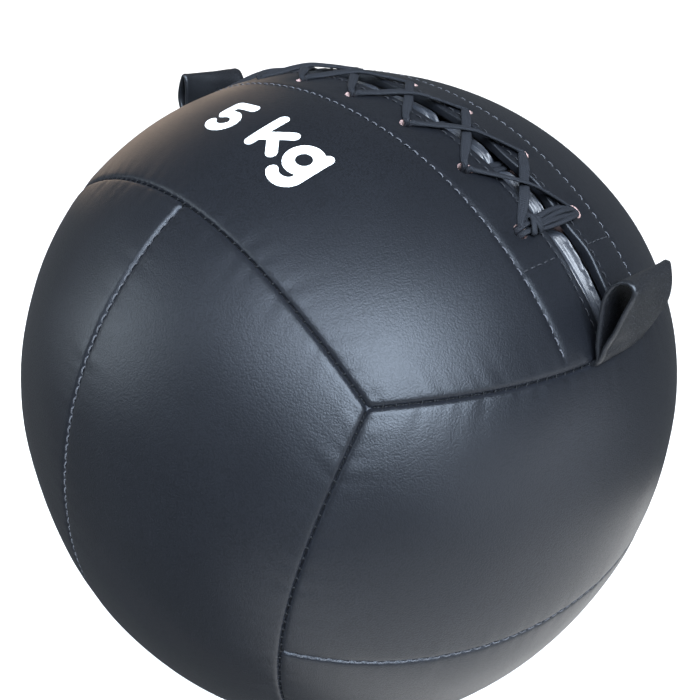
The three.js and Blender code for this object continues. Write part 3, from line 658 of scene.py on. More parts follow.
def cover_panel(ball, name, face, run, across, laced):
    fine = np.linspace(0, 1, 41)
    net = ball.point(ball.patch(face, run, across, 2 * fine[:, None] - 1, fine[None, :]))
    len_s = np.linalg.norm(np.diff(net, axis=0), axis=-1).sum(0)
    len_t = np.linalg.norm(np.diff(net, axis=1), axis=-1).sum(1)
    first = ball.mouth + MOUTH_STEPS if laced else EDGE_STEPS
    count_s = int(len_s.mean() / ball.facet)
    count_t = int((len_t.mean() - first[-1]) / ball.facet)
    n = count_s + 2 * len(EDGE_STEPS)
    t_plain = stations(first, EDGE_STEPS, count_t, np.array([len_t.mean()]))[:, 0] / len_t.mean()
    long = np.interp(t_plain, fine, len_s)[None, :]
    far_s = stations(EDGE_STEPS, EDGE_STEPS, count_s, long[0])
    s_share = far_s / long
    wide = np.interp(s_share, fine, len_t)
    middle = (np.arange(count_t) + 1) / (count_t + 1)
    far_t = np.concatenate([
        np.broadcast_to(first, (n, len(first))),
        first[-1] + middle[None, :] * (wide[:, len(first):len(first) + count_t] - first[-1]
                                       - EDGE_STEPS[-1]),
        wide[:, -len(EDGE_STEPS):] - EDGE_STEPS[::-1]], 1)
    s, t = 2 * s_share - 1, far_t / wide
    if laced:
        # Rows of the mesh run parallel to the closure, however it bows.
        for _ in range(4):
            way = ball.patch(face, run, across, s, np.clip(t, 0, 1))
            along = np.arctan2(way[..., 0], way[..., 2]) * ball.radius
            off = np.abs(np.arcsin(way[..., 1]) * ball.radius + ball.drawn(along))
            t = t + (far_t - off) / wide * ease((PARALLEL_ROWS[1] - far_t) / np.ptp(PARALLEL_ROWS))
    # Arc positions along the four borders, the same on both panels of a seam.
    arc_near = np.interp(s, ball.u, ball.split_arc)
    arc_far = np.interp(s, ball.u, ball.seam_arc)
    arc_end = np.interp(t, ball.u, ball.seam_arc)
    drop = np.zeros_like(s)
    pulls = []
    for distance, arc in ((far_s, arc_end), (long - far_s, arc_end), (wide - far_t, arc_far)):
        d, pull = seam_dip(distance, arc, ball.pitch)
        drop += d
        pulls.append(pull)
    if laced:
        edge = far_t - ball.mouth
        roll = np.clip(MOUTH_ROLL - edge, 0, MOUTH_ROLL)
        mouth_drop = MOUTH_ROLL - np.sqrt(MOUTH_ROLL ** 2 - roll ** 2)
        mouth_drop[:, 0] = DEEPEST_DROP
        drop = np.maximum(drop, mouth_drop)
        wavy = 0.45 * np.cos(2 * np.pi * arc_near / 33.6) + 0.2 * np.sin(arc_near / 7.3)
        near_pull = wavy * np.exp(-edge / 5)
    else:
        d, near_pull = seam_dip(far_t, arc_near, ball.pitch)
        drop += d
    drop = np.minimum(drop, DEEPEST_DROP)
    s_out = s + 2 * (pulls[1] - pulls[0]) / long
    t_out = t + (pulls[2] - near_pull) / wide
    way = ball.patch(face, run, across, s_out, np.clip(t_out, 0.0005, 0.9995))
    outer = ball.point(way, drop - ball.skin(way))
    inner = ball.point(way, COVER_WALL)
    outer[..., 2] = np.maximum(outer[..., 2], 0.0)
    reach = np.minimum(np.minimum(far_s, long - far_s), wide - far_t)
    reach = reach if laced else np.minimum(reach, far_t)
    piece = Piece(name)
    piece.shell(outer, inner, near=np.exp(-reach / 2.2))
    return piece


class MEDBALL_OT_cover(bpy.types.Operator):
    """Twelve filled leather panels with drawn-in, stitched seams and two laced flaps"""

    bl_idname = "medball.cover"
    bl_label = "Cover panels"

    def execute(self, context):
        ball, s = Ball(context), context.scene.medball_cover
        skin = leather("cover_leather", s.leather, s.roughness, s.grain)
        f = Finish("cut_edge", Roughness=0.85, Specular_IOR_Level=0.3)
        layers = f.noise(f.place(), 700.0, 4.0, 0.7)
        raw = context.scene.medball_closure.cut_colour
        cut = f.drive(Base_Color=f.blend(f.ramp(layers, (0.3, 0.0), (0.7, 1.0)), shade(raw, 1.2),
                                         shade(raw, 0.5)),
                      Normal=f.bump(layers, 0.3 * MM))
        for face, run, across, halves, _ in SQUARES:
            for side, name in zip((1, -1), halves):
                laced = face is Z
                made = cover_panel(ball, name + "_leather", face, run, side * across, laced).make([skin])
                if laced:
                    made.data.materials.append(cut)
                    cut_holes(made, ball, side, cut)
                settle(made, "ball", "cover_leather", name)
        return {"FINISHED"}


# ---------------------------------------------------------------- seam threads


class MEDBALL_OT_seams(bpy.types.Operator):
    """Thread of every seam: bridges across the long seams, running stitches in the splits"""

    bl_idname = "medball.seams"
    bl_label = "Seam threads"

    def execute(self, context):
        ball = Ball(context)
        dark = thread("seam_thread_dark", (0.0035, 0.0038, 0.0045), 1.4, count=1, roughness=0.6)
        # The splits' thread is real, and its pale grey is also painted highlight, standing in for the light on
        # the rolled panel edges beside it.
        pale = thread("split_thread_grey_and_highlight", (0.055, 0.059, 0.068), 1.4, count=1, roughness=0.6)

        def lie(curve, table, arc, off, depth):
            u = np.interp(arc, table, ball.u)
            way = curve(u)
            ahead = unit(curve(u + 1e-3) - curve(u - 1e-3))
            way = unit(way + np.cross(way, ahead) * (off / ball.radius)[..., None])
            p = ball.point(way, depth - ball.skin(way))
            p[..., 2] = np.maximum(p[..., 2], 0.4)
            return p, ahead

        def bed(piece, curve, table):
            """The lock thread that lies along the bottom of the seam."""
            arc = np.linspace(table[0] + 2.0, table[-1] - 2.0, 150)
            path, _ = lie(curve, table, arc, 0 * arc, 2.4)
            piece.strand(path, np.cross(np.gradient(path, axis=0), path - ball.centre), 0.7, 0.6, 6)

        for name, split, other, length in LONG_SEAMS:
            curve = lambda u, a=split, b=other, c=length: ball.seam(a, b, c, u)
            table, piece = ball.seam_arc, Piece(name + "_stitches")
            bed(piece, curve, table)
            last = int((table[-1] - 2.4) / ball.pitch)
            for k in range(-last, last + 1):
                off = np.linspace(-1.35, 1.35, 9)
                arc = k * ball.pitch + 0.28 * off
                path, ahead = lie(curve, table, arc, off, 1.30 + 0.9 * np.abs(off / 1.35) ** 3)
                piece.strand(path, ahead, 0.72, 0.58, 8)
            settle(piece.make([dark]), "ball", "seam_thread", name)
        for face, run, _, _, name in SQUARES:
            if not name:
                continue
            curve = lambda u, a=face, b=run: ball.split(a, b, u)
            table, piece = ball.split_arc, Piece(name + "_stitches")
            bed(piece, curve, table)
            last = int((table[-1] - 3.5) / ball.pitch)
            for k in range(-last, last):
                arc = (k + 0.5) * ball.pitch + np.linspace(-0.44, 0.44, 11) * ball.pitch
                bend = np.abs(np.linspace(-1, 1, 11))
                path, ahead = lie(curve, table, arc, 0.12 * np.cos(3.1 * arc), 0.62 + 1.3 * bend ** 4)
                piece.strand(path, np.cross(ahead, path - ball.centre), 0.85, 0.62, 8)
            settle(piece.make([pale]), "ball", "seam_thread", name)
        return {"FINISHED"}


# ---------------------------------------------------------------- closure


class MEDBALL_OT_closure(bpy.types.Operator):
    """Woven facing strips behind the flaps, and the folded leather tongue under the lace"""

    bl_idname = "medball.closure"
    bl_label = "Facings and tongue"

    def execute(self, context):
        ball, c = Ball(context), context.scene.medball_closure
        web = cloth("facing_web", c.web_colour, 1.1 * MM, 0.25 * MM)
        cut = bpy.data.materials["cut_edge"]
        along = np.linspace(-FACING_REACH, FACING_REACH, 150)[:, None]
        for name, side in (("facing_back", 1), ("facing_front", -1)):
            across = side * np.linspace(ball.mouth + 1.8, ball.mouth + 30, 22)[None, :]
            wave = 0.12 * np.sin(along / 6.1) * np.sin(across / 3.7)
            piece = Piece(name + "_strip")
            piece.shell(ball.in_top(along + 0 * across, across + 0 * along, FACING_DEPTHS[0] + 0.13 + wave),
                        ball.in_top(along + 0 * across, across + 0 * along, FACING_DEPTHS[1]))
            made = piece.make([web])
            cut_holes(made, ball, side, cut)
            settle(made, "ball", "facing_web", name)
        f = Finish("tongue_leather", Coat_Weight=0.35, Coat_Roughness=0.3, Specular_IOR_Level=0.5)
        where = f.place()
        streak = f.noise(f.node("ShaderNodeVectorMath", {"operation": "MULTIPLY"},
                                {0: where, 1: (0.18, 1.0, 1.0)}), 520.0, 4.0, 0.6)
        fine = f.noise(where, 1700.0, 3.0, 0.6)
        # Colour follows the streaks' height: painted light on the raised streaks and painted shade between
        # them.
        gloss = f.drive(Base_Color=f.blend(streak, shade(c.tongue_colour, 0.6),
                                           shade(c.tongue_colour, 1.6)),
                        Roughness=0.26 + streak * 0.16 + fine * 0.06,
                        Normal=f.bump(streak * 0.8 + fine * 0.3, 0.22 * MM))
        x = np.linspace(-TONGUE_REACH, TONGUE_REACH, 254)[:, None]
        y = np.concatenate([np.linspace(-28, -9, 10), np.linspace(-8.4, 8.4, 43),
                            np.linspace(9, 28, 10)])[None, :]
        # Folds run along it; the lace presses them down where it passes under the flaps.
        pressed = sum(np.exp(-((x - h) / 4.4) ** 2) for h in ball.holes)
        free = 1 - 0.94 * np.clip(pressed, 0, 1)
        folds = ((-3.2, 1.9, 2.4), (0.8, 1.0, 2.7), (3.7, 0.75, 2.6), (6.3, 0.7, 2.2), (-6.2, 1.0, 1.9))
        rise = 3.0 * np.exp(-(y / 9.5) ** 4) + 0 * x
        for place, width, height in folds:
            drift = place + 0.7 * np.sin(x / 21 + place) + 0.3 * np.sin(x / 9.1 + 2 * place)
            rise = rise + height * np.exp(-((y - drift) / width) ** 2) * (0.8
                + 0.2 * np.sin(x / 13 + place))
        room = 2.7 + 1.4 * ease((8.4 - np.abs(y)) / 0.9) + 1.7 * ease((6.8 - np.abs(y)) / 1.4)
        rise = np.minimum(rise, room) * free * ease((11.5 - np.abs(y))
                                                    / 2.8) * ease((TONGUE_REACH + 1 - np.abs(x)) / 6)
        piece = Piece("tongue_leather")
        flat = np.broadcast_arrays(x, y)
        piece.shell(ball.in_top(*flat, TONGUE_DEPTH + 0.1 - rise),
                    ball.in_top(*flat, TONGUE_DEPTH + 1.5 - 0.94 * rise))
        tongue = settle(piece.make([gloss]), "ball", "tongue_leather", "tongue")
        return {"FINISHED"}


class MEDBALL_OT_topstitch(bpy.types.Operator):
    """Every stitch of the rows along the flaps and of the bar tacks across them"""

    bl_idname = "medball.topstitch"
    bl_label = "Topstitching"

    def execute(self, context):
        ball, c = Ball(context), context.scene.medball_closure
        pale = thread("topstitch_thread", c.stitch_colour, 1.3, count=1, roughness=0.55)
        faint = thread("edge_thread", shade(c.stitch_colour, 0.28), 1.3, count=1, roughness=0.55)
        black = thread("tack_thread", shade(c.stitch_colour, 0.30), 1.3, count=1, roughness=0.6)

        def row(piece, start, end, pitch):
            start, end = np.array(start, float), np.array(end, float)
            length = np.linalg.norm(end - start)
            way = (end - start) / length
            count = round(length / pitch)
            for k in range(count):
                v = np.linspace(-1, 1, 11)
                d = (k + 0.5 + 0.36 * v) * length / count
                sway = 0.16 * math.sin(k * 2.1) * np.array([-way[1], way[0]])
                spot = start + way * d[:, None] + sway * v[:, None]
                path = ball.on_top(spot[:, 0], spot[:, 1], 0.34 - 1.0 * np.abs(v) ** 4)
                across = np.cross(np.gradient(path, axis=0), path - ball.centre)
                piece.strand(path, across, 0.56, 0.42, 8)

        for name, side in (("back", 1), ("front", -1)):
            reach = FLAP_REACH - 1
            for kind, at, finish in (("outer", ball.outer_row, pale), ("edge", EDGE_ROW, faint)):
                piece = Piece(f"topstitch_{kind}_{name}_stitches")
                row(piece, (-reach, side * at), (reach, side * at), c.stitch / MM)
                settle(piece.make([finish]), "ball", "top_stitch", f"topstitch_{kind}_{name}")
            for end, sign in (("right", 1), ("left", -1)):
                piece = Piece(f"bar_tack_{end}_{name}_stitches")
                row(piece, (sign * TACK_STATION, side * (EDGE_ROW + 1)),
                    (sign * TACK_STATION, side * (ball.outer_row - 1)), 3.9)
                settle(piece.make([black]), "ball", "top_stitch", f"bar_tack_{end}_{name}")
        return {"FINISHED"}


class MEDBALL_OT_lace(bpy.types.Operator):
    """The flat woven lace, hole by hole, with its gathered end and knot"""

    bl_idname = "medball.lace"
    bl_label = "Lace"

    def execute(self, context):
        ball, c = Ball(context), context.scene.medball_closure
        width, thick = c.lace_width / MM, c.lace_thickness / MM
        row, apart, under = ball.row, 1.4, LACE_UNDER_DEPTH
        last = LACE_PAIRS - 1
        holes = ball.holes[::-1]
        points, widths = [], []
        # Down through the inner half of a hole: in from its middle, height, share of the width.
        dive = ((1.1, 0.5, 0.62), (1.4, -2.6, 0.55), (1.7, -4.4, 0.55), (4.4, -under, 0.7))

        def put(x, y, height, w=1.0):
            """Adds a point of the route, where the lace has the share w of its full width."""
            points.append(ball.by_height(x, y, height))
            widths.append(w)

        def under_run(k, side, shift):
            x = holes[k] + shift
            for inward, height, w in dive:
                put(x, side * (row - inward), height, w)
            for y in (0.5, 0, -0.5):
                put(x, side * row * y, -under, 0.8)
            for inward, height, w in reversed(dive):
                put(x, -side * (row - inward), height, w)

        def over_run(start, end, side, lift):
            for u, w in ((0.07, 0.72), (0.18, 0.95), (0.34, 1), (0.5, 0.92), (0.66, 1), (0.82, 0.95),
                         (0.93, 0.72)):
                hump = lift * math.exp(-(((u - 0.5) / 0.15) ** 2))
                put(start + (end - start) * u, side * row * (1 - 2 * u), 0.95 + hump, w)

        side = -1
        put(holes[0] - apart, side * (row - 1.4), -2.6, 0.55)
        put(holes[0] - apart, side * (row - 1.1), 0.5, 0.6)
        for k in range(1, last + 1):
            over_run(holes[k - 1] - apart, holes[k] - (apart if k < last else 0), side, 0)
            under_run(k, -side, -apart if k < last else 0)
        for k in range(last - 1, -1, -1):
            over_run(holes[k + 1] + (apart if k + 1 < last else 0), holes[k] + apart, side, 1.55)
            if k:
                under_run(k, -side, apart)
        put(holes[0] + apart, row - 1.1, 0.5, 0.6)
        put(holes[0] + apart, row - 1.4, -3.2, 0.5)
        path = smooth_path(np.column_stack([points, widths]), 0.8)
        piece = Piece("lace_braid")
        share_w = path[:, 3]
        piece.strand(path[:, :3], X, width * share_w, thick * (1 + 1.2 * np.clip(0.9 - share_w, 0, 1)), 16,
                     3.2)
        # The gathered bar: the lace's end, doubled back over the mouth to its knot.
        for k, off in enumerate((-3.1, -1.1, 1.0, 3.0)):
            v = np.linspace(0, 1, 13)
            spread = off * (0.42 + 0.58 * np.sin(np.pi * v) ** 0.8)
            y = row - 0.6 + (-13.2 - row + 0.6) * v
            rise = 0.35 + 1.1 * np.sin(np.pi * np.clip(v * 1.25, 0, 1)) ** 0.7 + 0.35 * ((k % 2) * 2
                - 1) * np.sin(2 * np.pi * v)
            rise = np.where(v < 0.06, -2.6, rise)
            strip = np.array([ball.by_height(holes[0] + s * (1 if h > 0 else 0.6), q, h)
                              for s, q, h in zip(spread, y, rise)])
            piece.strand(smooth_path(strip, 0.8), X, 2.7, 1.5, 14, 2.6)
        # The knot: two turns round the bar, and a strand down into the front hole.
        middle = ball.on_top(holes[0], -12.6, 1.2)
        up = unit(middle - ball.centre)
        for turn, (lean, size_) in enumerate(((0.35, 4.1), (-0.3, 3.9), (0.05, 3.2))):
            angle = np.linspace(0.2, 2 * np.pi + 0.2, 40)[:, None]
            away = unit(Y + lean * X)
            flat = np.cross(up, away)
            ring = middle + away * (turn
                                    - 1) * 1.5 + flat * np.cos(angle) * size_ + up * (np.sin(angle) * 1.75
                                        + 0.5)
            ring = ring + away * np.sin(2 * angle) * 0.5
            piece.strand(ring, away, 2.4, 1.2, 12, 2.6)
        for shift in (-1.3, 1.2):
            spots = [(shift, -13.4, 1.2), (shift * 1.2, -15.2, 1.1), (shift, -17.4, 0.8),
                     (shift, -18.9, -1.8), (shift, -18.6, -5.0)]
            strip = np.array([ball.by_height(holes[0] + s, q, h) for s, q, h in spots])
            piece.strand(smooth_path(strip, 0.7), X, 2.5, 1.4, 12, 2.6)
        braid = thread("lace_cord", c.lace_colour, 1.15, around=7.0, count=2, roughness=0.7, depth=0.3 * MM)
        settle(piece.make([braid]), "ball", "lace_cord", "lace")
        return {"FINISHED"}


# ---------------------------------------------------------------- strap loops

# Side views of a loop's full near edge and its creased far edge, from its inner
# leg's root round to its outer leg's root: out from the hinge line and up, in millimetres.
LOOP_NEAR = [(-1.6, 0.4), (-3.9, 5.5), (-6.4, 13.0), (-7.7, 20.0), (-8.0, 25.0), (-7.0, 29.6), (-4.2, 32.2),
             (-1.0, 32.3), (0.9, 30.2), (1.1, 26.0), (0.6, 20.0), (-0.3, 13.0), (-1.0, 6.5), (-0.9, 2.6)]
LOOP_FAR = [(-1.6, 0.4), (-3.6, 5.5), (-5.6, 13.0), (-6.5, 19.0), (-6.5, 23.5), (-5.8, 27.8), (-4.6, 31.4),
            (-3.3, 31.9), (-1.7, 29.4), (-0.1, 25.6), (0.9, 20.0), (0.8, 13.0), (0.1, 6.5), (-0.6, 2.6)]


class MEDBALL_OT_straps(bpy.types.Operator):
    """Two loops of folded leather strap, each sewn into the seam at its root"""

    bl_idname = "medball.straps"
    bl_label = "Strap loops"

    def execute(self, context):
        ball, s = Ball(context), context.scene.medball_strap
        finish = leather("strap_leather", s.colour, 0.31, 0.07 * MM, pebble=1700)
        width, thick = s.width / MM, s.thickness / MM
        for name, body, turn, lean in (("right_loop", "right_strap", 1, 0.0),
                                       ("left_loop", "left_strap", -1, 4.5)):
            hinge = np.array(JOINTS[name + "_swing"]["pos_m"]) / MM
            normal = unit(np.array([abs(hinge[0]), 0, hinge[2] - ball.centre[2]]))
            down = [(-normal[0] * k - 0.55 * w, -normal[2] * k - 0.1) for k, w in ((5.0, 0.5), (2.9, 1.1))]
            back = [(-normal[0] * k + 0.55 * w, -normal[2] * k + 0.1) for k, w in ((2.9, 1.1), (5.0, 0.5))]
            near, far = (smooth_path(np.array([*down, *edge, *back]), 1.0, 86)[:, None]
                         for edge in (LOOP_NEAR, LOOP_FAR))
            y = np.linspace(-1, 1, 27)
            crease = ease((y[None, :, None] + 1.0) / 2)
            side = near * (1 - crease) + far * crease
            n = len(side)
            # The root follows the seam; the tip is a little fuller at one side.
            seam = ball.point(ball.seam(Z, X, Y, np.interp(y * width / 2, ball.seam_arc, ball.u)))
            drop = seam - ball.point(ball.split(Z, X, np.float64(1.0)))
            height = side[..., 1]
            root = 1 - ease((height + 1) / 17)
            bulge = ease(height / 20)
            px = side[..., 0] + drop[None, :, 0] * root + lean * bulge * (y[None, :] + 1) / 2
            pz = height + drop[None, :, 2] * root - 0.3 * bulge * (y[None, :] + 1)
            ripple = 0.22 * np.sin(height / 3.3 + 2.2 * y[None, :]) * bulge + 0.15 * np.sin(5 * y[None, :]
                + height / 6)
            py = np.broadcast_to(y[None, :] * width / 2, (n, len(y)))
            mid = np.stack([px + ripple, py, pz], -1)
            along, across = unit(np.gradient(mid, axis=0)), unit(np.gradient(mid, axis=1))
            out = unit(np.cross(along, across))
            # Rounded, slightly thick edges where the leather is turned in.
            half = thick / 2 * (1 + 0.22 * np.exp(-(((np.abs(y) - 0.9) / 0.05) ** 2))
                                - 0.10 * np.exp(-(((np.abs(y) - 0.8) / 0.04) ** 2)))
            half = half * np.sqrt(np.clip(1 - (np.abs(y) ** 40) * 0.75, 0, 1))
            wall = out * half[None, :, None]
            outer, inner = (face * np.array([turn, turn, 1]) + hinge for face in (mid + wall, mid - wall))
            piece = Piece(name + "_strap")
            piece.shell(outer, inner)
            made = piece.make([finish], sharp=70)
            out_way = Vector((turn * normal[0], 0, normal[2]))
            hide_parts(name)
            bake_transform(made)
        return {"FINISHED"}


# ---------------------------------------------------------------- printed weight


def stroke_distance(x, y, line):
    """Distance from each point to a stroke's middle line."""
    best = np.full(x.shape, 1e9)
    for (ax, ay), (bx, by) in zip(line[:-1], line[1:]):
        dx, dy = bx - ax, by - ay
        t = np.clip(((x - ax) * dx + (y - ay) * dy) / (dx * dx + dy * dy), 0, 1)
        best = np.minimum(best, np.hypot(x - ax - t * dx, y - ay - t * dy))
    return best


def bowl(cx, cy, rx, ry, start, end):
    a = np.radians(np.linspace(start, end, 25))
    return list(zip(cx + rx * np.cos(a), cy + ry * np.sin(a)))


class MEDBALL_OT_mark(bpy.types.Operator):
    """The weight printed on the cover, in plain rounded strokes"""

    bl_idname = "medball.mark"
    bl_label = "Printed weight"

    def execute(self, context):
        ball, s = Ball(context), context.scene.medball_mark
        half, tall = s.stroke / MM / 2, s.height / MM
        top, low = tall - half, half
        strokes = [
            [(14.2, top), (4.0, top), (3.3, tall * 0.56)],
            bowl(8.3, tall * 0.335, 6.3, tall * 0.335 - low, 128, -152),
            [(33.0, top), (33.0, low)],
            [(45.6, tall * 0.66), (34.4, tall * 0.31)],
            [(38.6, tall * 0.44), (46.6, low)],
            bowl(59.4, tall * 0.37, 6.3, tall * 0.37 - low, 0, 360),
            [(65.9, tall * 0.66), (65.9, 0.0)],
            bowl(59.4, 0.0, 6.5, 5.2, 0, -140),
        ]
        step = 0.5
        gx, gy = np.meshgrid(np.arange(-4, 74, step), np.arange(-9, tall + 3, step), indexing="ij")
        field = np.min([stroke_distance(gx, gy, line) for line in strokes], axis=0) - half
        corners, keys, faces = [], {}, []

        def corner(x, y):
            key = (round(x, 3), round(y, 3))
            if key not in keys:
                keys[key] = len(corners)
                corners.append((x, y))
            return keys[key]

        for i, j in zip(*np.where(np.minimum.reduce([field[:-1, :-1], field[1:, :-1], field[1:, 1:],
                                                     field[:-1, 1:]]) < 0)):
            ring, outline = [(i, j), (i + 1, j), (i + 1, j + 1), (i, j + 1)], []
            for a, b in zip(ring, ring[1:] + ring[:1]):
                fa, fb = field[a], field[b]
                if fa < 0:
                    outline.append(corner(gx[a], gy[a]))
                if (fa < 0) != (fb < 0):
                    k = min(max(fa / (fa - fb), 0.02), 0.98)
                    outline.append(corner(gx[a] + k * (gx[b] - gx[a]), gy[a] + k * (gy[b] - gy[a])))
            if len(set(outline)) > 2:
                faces.append(outline)
        flat = np.array(corners)
        along = s.along / MM + flat[:, 0] * s.stretch
        across = -s.baseline / MM + flat[:, 1] + ball.drawn(along)
        piece = Piece("weight_mark")
        upper, lower = ball.on_top(along, across, 0.10), ball.on_top(along, across, -0.25)
        piece.points, piece.near = [upper, lower], [np.zeros(2 * len(flat))]
        count = len(flat)
        sides = {}
        for outline in faces:
            piece.face(outline)
            piece.face([count + c for c in reversed(outline)])
            for a, b in zip(outline, outline[1:] + outline[:1]):
                sides[(a, b)] = sides.get((a, b), 0) + 1
        for a, b in sides:
            if (b, a) not in sides:
                piece.face((b, a, count + a, count + b))
        f = Finish("print_ink", Roughness=0.5, Specular_IOR_Level=0.4)
        where = f.place()
        wear = f.noise(where, 60.0, 5.0, 0.7)
        pores = f.node("ShaderNodeTexVoronoi", None, {"Vector": where, "Scale": 780.0})
        ink = f.drive(Base_Color=f.blend(f.ramp(wear * 0.8 + pores * 0.25, (0.55, 0.0), (0.95, 0.6)),
                                         s.ink, shade(s.ink, 0.5)),
                      Roughness=0.42 + wear * 0.16, Normal=f.bump(pores + wear * 0.5, 0.05 * MM))
        made = piece.make([ink], sharp=40)
        settle(made, "ball", "cover_leather")
        return {"FINISHED"}


# ---------------------------------------------------------------- inside


LINER_DEPTHS = (9.4, 5.1)      # under the closure, elsewhere
LINER_WALL = 1.2
LINER_MOUTH = 48.0             # half its opening
CORE_RADIUS, CORE_WALL = 62.0, 1.4
NECK_RADIUS, NECK_HEIGHT = 15.0, 20.0
BALLAST_RADIUS, BALLAST_LEVEL = 59.4, 43.5
POCKET_RADIUS, NECK_POCKET = 65.0, 20.5


def lumps(way, scale, seed):
    """Soft lumps from 0 to 1 over directions."""
    draw = np.random.default_rng(seed)
    waves = unit(draw.normal(size=(14, 3))) * scale * draw.uniform(0.6, 1.6, 14)[:, None]
    return ease(0.5 + 0.16 * np.sin(way @ waves.T + draw.uniform(0, 2 * np.pi, 14)).sum(-1))


def turned(polar, around=144):
    """Directions at polar angles, turned about the upright axis."""
    azimuth = np.linspace(0, 2 * np.pi, around, endpoint=False)[None, :]
    polar = np.asarray(polar, float)[:, None]
    return np.stack(np.broadcast_arrays(np.sin(polar) * np.cos(azimuth), np.sin(polar) * np.sin(azimuth),
                                        np.cos(polar)), -1), azimuth


def plies(piece, radius, height, count, ply, turns):
    """Plies twisted together round a ring."""
    angle = np.linspace(0, 2 * np.pi, 24 * turns + 1)
    out = np.stack([np.cos(angle), np.sin(angle), 0 * angle], -1)
    for k in range(count):
        twist = angle * turns + 2 * np.pi * k / count
        path = out * (radius + 0.5 * ply * np.cos(twist))[:,
                                                          None] + Z * (height + 0.5 * ply
                                                              * np.sin(twist))[:, None]
        piece.strand(path, Z, ply, ply, 8)


class MEDBALL_OT_inside(bpy.types.Operator):
    """Gathered lining and drawcord, pleated core bag with its tie and ballast, and the fibre filling"""

    bl_idname = "medball.inside"
    bl_label = "Lining, core and filling"

    def liner_depth(self, polar):
        return LINER_DEPTHS[0] + (LINER_DEPTHS[1] - LINER_DEPTHS[0]) * ease((polar - 0.95) / 0.16)

    def lining(self, ball):
        polar = np.linspace(LINER_MOUTH / (ball.radius - LINER_DEPTHS[0]), math.pi - 0.01, 120)
        way, azimuth = turned(polar, 288)
        polar = polar[:, None]
        pleat = (0.5 + 0.5 * np.sin(34 * azimuth + 1.3 * np.sin(3 * azimuth))) ** 2
        proud = ease((polar - 1.06) / 0.2) * (1.1 * pleat * np.exp(-(polar - 1.1) / 0.5)
                                              + 0.7 * lumps(way, 22, 3))
        depth = self.liner_depth(polar) - proud
        outer, inner = ball.point(way, depth), ball.point(way, depth + LINER_WALL)
        piece = Piece("liner_bag_cloth")
        piece.grid(np.stack([*outer, *inner[::-1], outer[0]]), wrap=True)
        return piece.make([cloth("liner_cloth", (0.45, 0.43, 0.38), 1.2 * MM, 0.2 * MM)])

    def core(self, ball):
        neck_angle = math.asin(NECK_RADIUS / CORE_RADIUS)
        arc = np.linspace(math.pi - 0.01, neck_angle, 80)

        def skin(wall):
            way, azimuth = turned(arc)
            pleat = 0.5 + 0.5 * np.sin(17 * azimuth + 0.8 * np.sin(2 * azimuth))
            near_neck = np.exp(-(arc[:, None] - neck_angle) / 0.30)
            bag = way * (CORE_RADIUS - wall - 0.5 * lumps(way, 9, 5) - 1.5 * pleat * near_neck)[..., None]
            rise = np.linspace(0.04, 1, 22)[:, None]
            waist = 1.0 * np.exp(-(((rise - 0.5) / 0.14) ** 2)) + 0.9 * pleat
            reach = NECK_RADIUS - wall - waist
            foot = math.sqrt(CORE_RADIUS ** 2 - NECK_RADIUS ** 2)
            neck = np.stack(np.broadcast_arrays(reach * np.cos(azimuth), reach * np.sin(azimuth),
                                                foot + NECK_HEIGHT * rise), -1)
            return np.concatenate([bag, neck])

        outer, inner = skin(0.0), skin(CORE_WALL)
        piece = Piece("core_bag_cloth")
        piece.capped(np.concatenate([outer, inner[::-1]]) + ball.centre)
        return piece.make([cloth("core_cloth", (0.16, 0.11, 0.07), 1.6 * MM, 0.3 * MM)])

    def grit(self, ball):
        way, _ = turned(np.linspace(math.pi - 0.01, math.acos(BALLAST_LEVEL / BALLAST_RADIUS), 70))
        side = way * (BALLAST_RADIUS - 1.2 * lumps(way, 14, 7))[..., None]
        share_in = np.linspace(1, 0.01, 32)[1:, None, None]
        top = side[-1][None] * share_in
        top[..., 2] = side[-1][None, :, 2] - 2.4 * lumps(top / BALLAST_RADIUS, 9,
                                                         9) * ease((1 - share_in[..., 0]) / 0.2)
        piece = Piece("ballast_grit")
        piece.capped(np.concatenate([side, top]) + ball.centre)
        return piece.make([granular("ballast_grit", ((0.22, 0.19, 0.15), (0.09, 0.08, 0.07)), 420,
                                    1.2 * MM)])

    def fibre(self, ball, name, upper, finish):
        """One half of the filling, with its pocket for the core and its neck."""
        edge = math.pi / 2 - 0.004
        polar = np.linspace(edge, 0.01, 70)
        pocket = np.linspace(0.01 if not upper else math.asin(NECK_POCKET / POCKET_RADIUS), edge, 36)
        if not upper:
            polar, pocket = math.pi - polar, math.pi - pocket
        way, _ = turned(polar)
        under = 2.8 * ease((0.42 - polar[:, None]) / 0.08) if upper else 0.0
        outside = ball.point(way, self.liner_depth(polar[:, None]) + 2.2 + under
                             + 3.0 * lumps(way, 16, 12)) - ball.centre
        way, azimuth = turned(pocket)
        inside = way * (POCKET_RADIUS + 1.6 * lumps(way, 12, 15))[..., None]
        if upper:
            ring = np.stack([np.cos(azimuth[0]), np.sin(azimuth[0]), 0 * azimuth[0]], -1)
            top = math.sqrt(CORE_RADIUS ** 2 - NECK_RADIUS ** 2) + NECK_HEIGHT + 2.0
            foot = inside[0, :, 2:3]
            shaft = [ring * NECK_POCKET + Z * (foot + (top - foot) * k) for k in (1.0, 0.66, 0.33)]
            inside = np.concatenate([np.stack([ring * 0.3 + Z * top, *shaft]), inside])
        piece = Piece(name)
        piece.capped(np.concatenate([inside, outside]) + ball.centre)
        return piece.make([finish])

    def ring(self, name, node, count, ply_share, turns, finish):
        low, high = (np.array(corner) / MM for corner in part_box(node))
        thick = high[2] - low[2]
        piece = Piece(name)
        plies(piece, high[0] - thick / 2, (low[2] + high[2]) / 2, count, thick * ply_share, turns)
        return piece.make([finish])

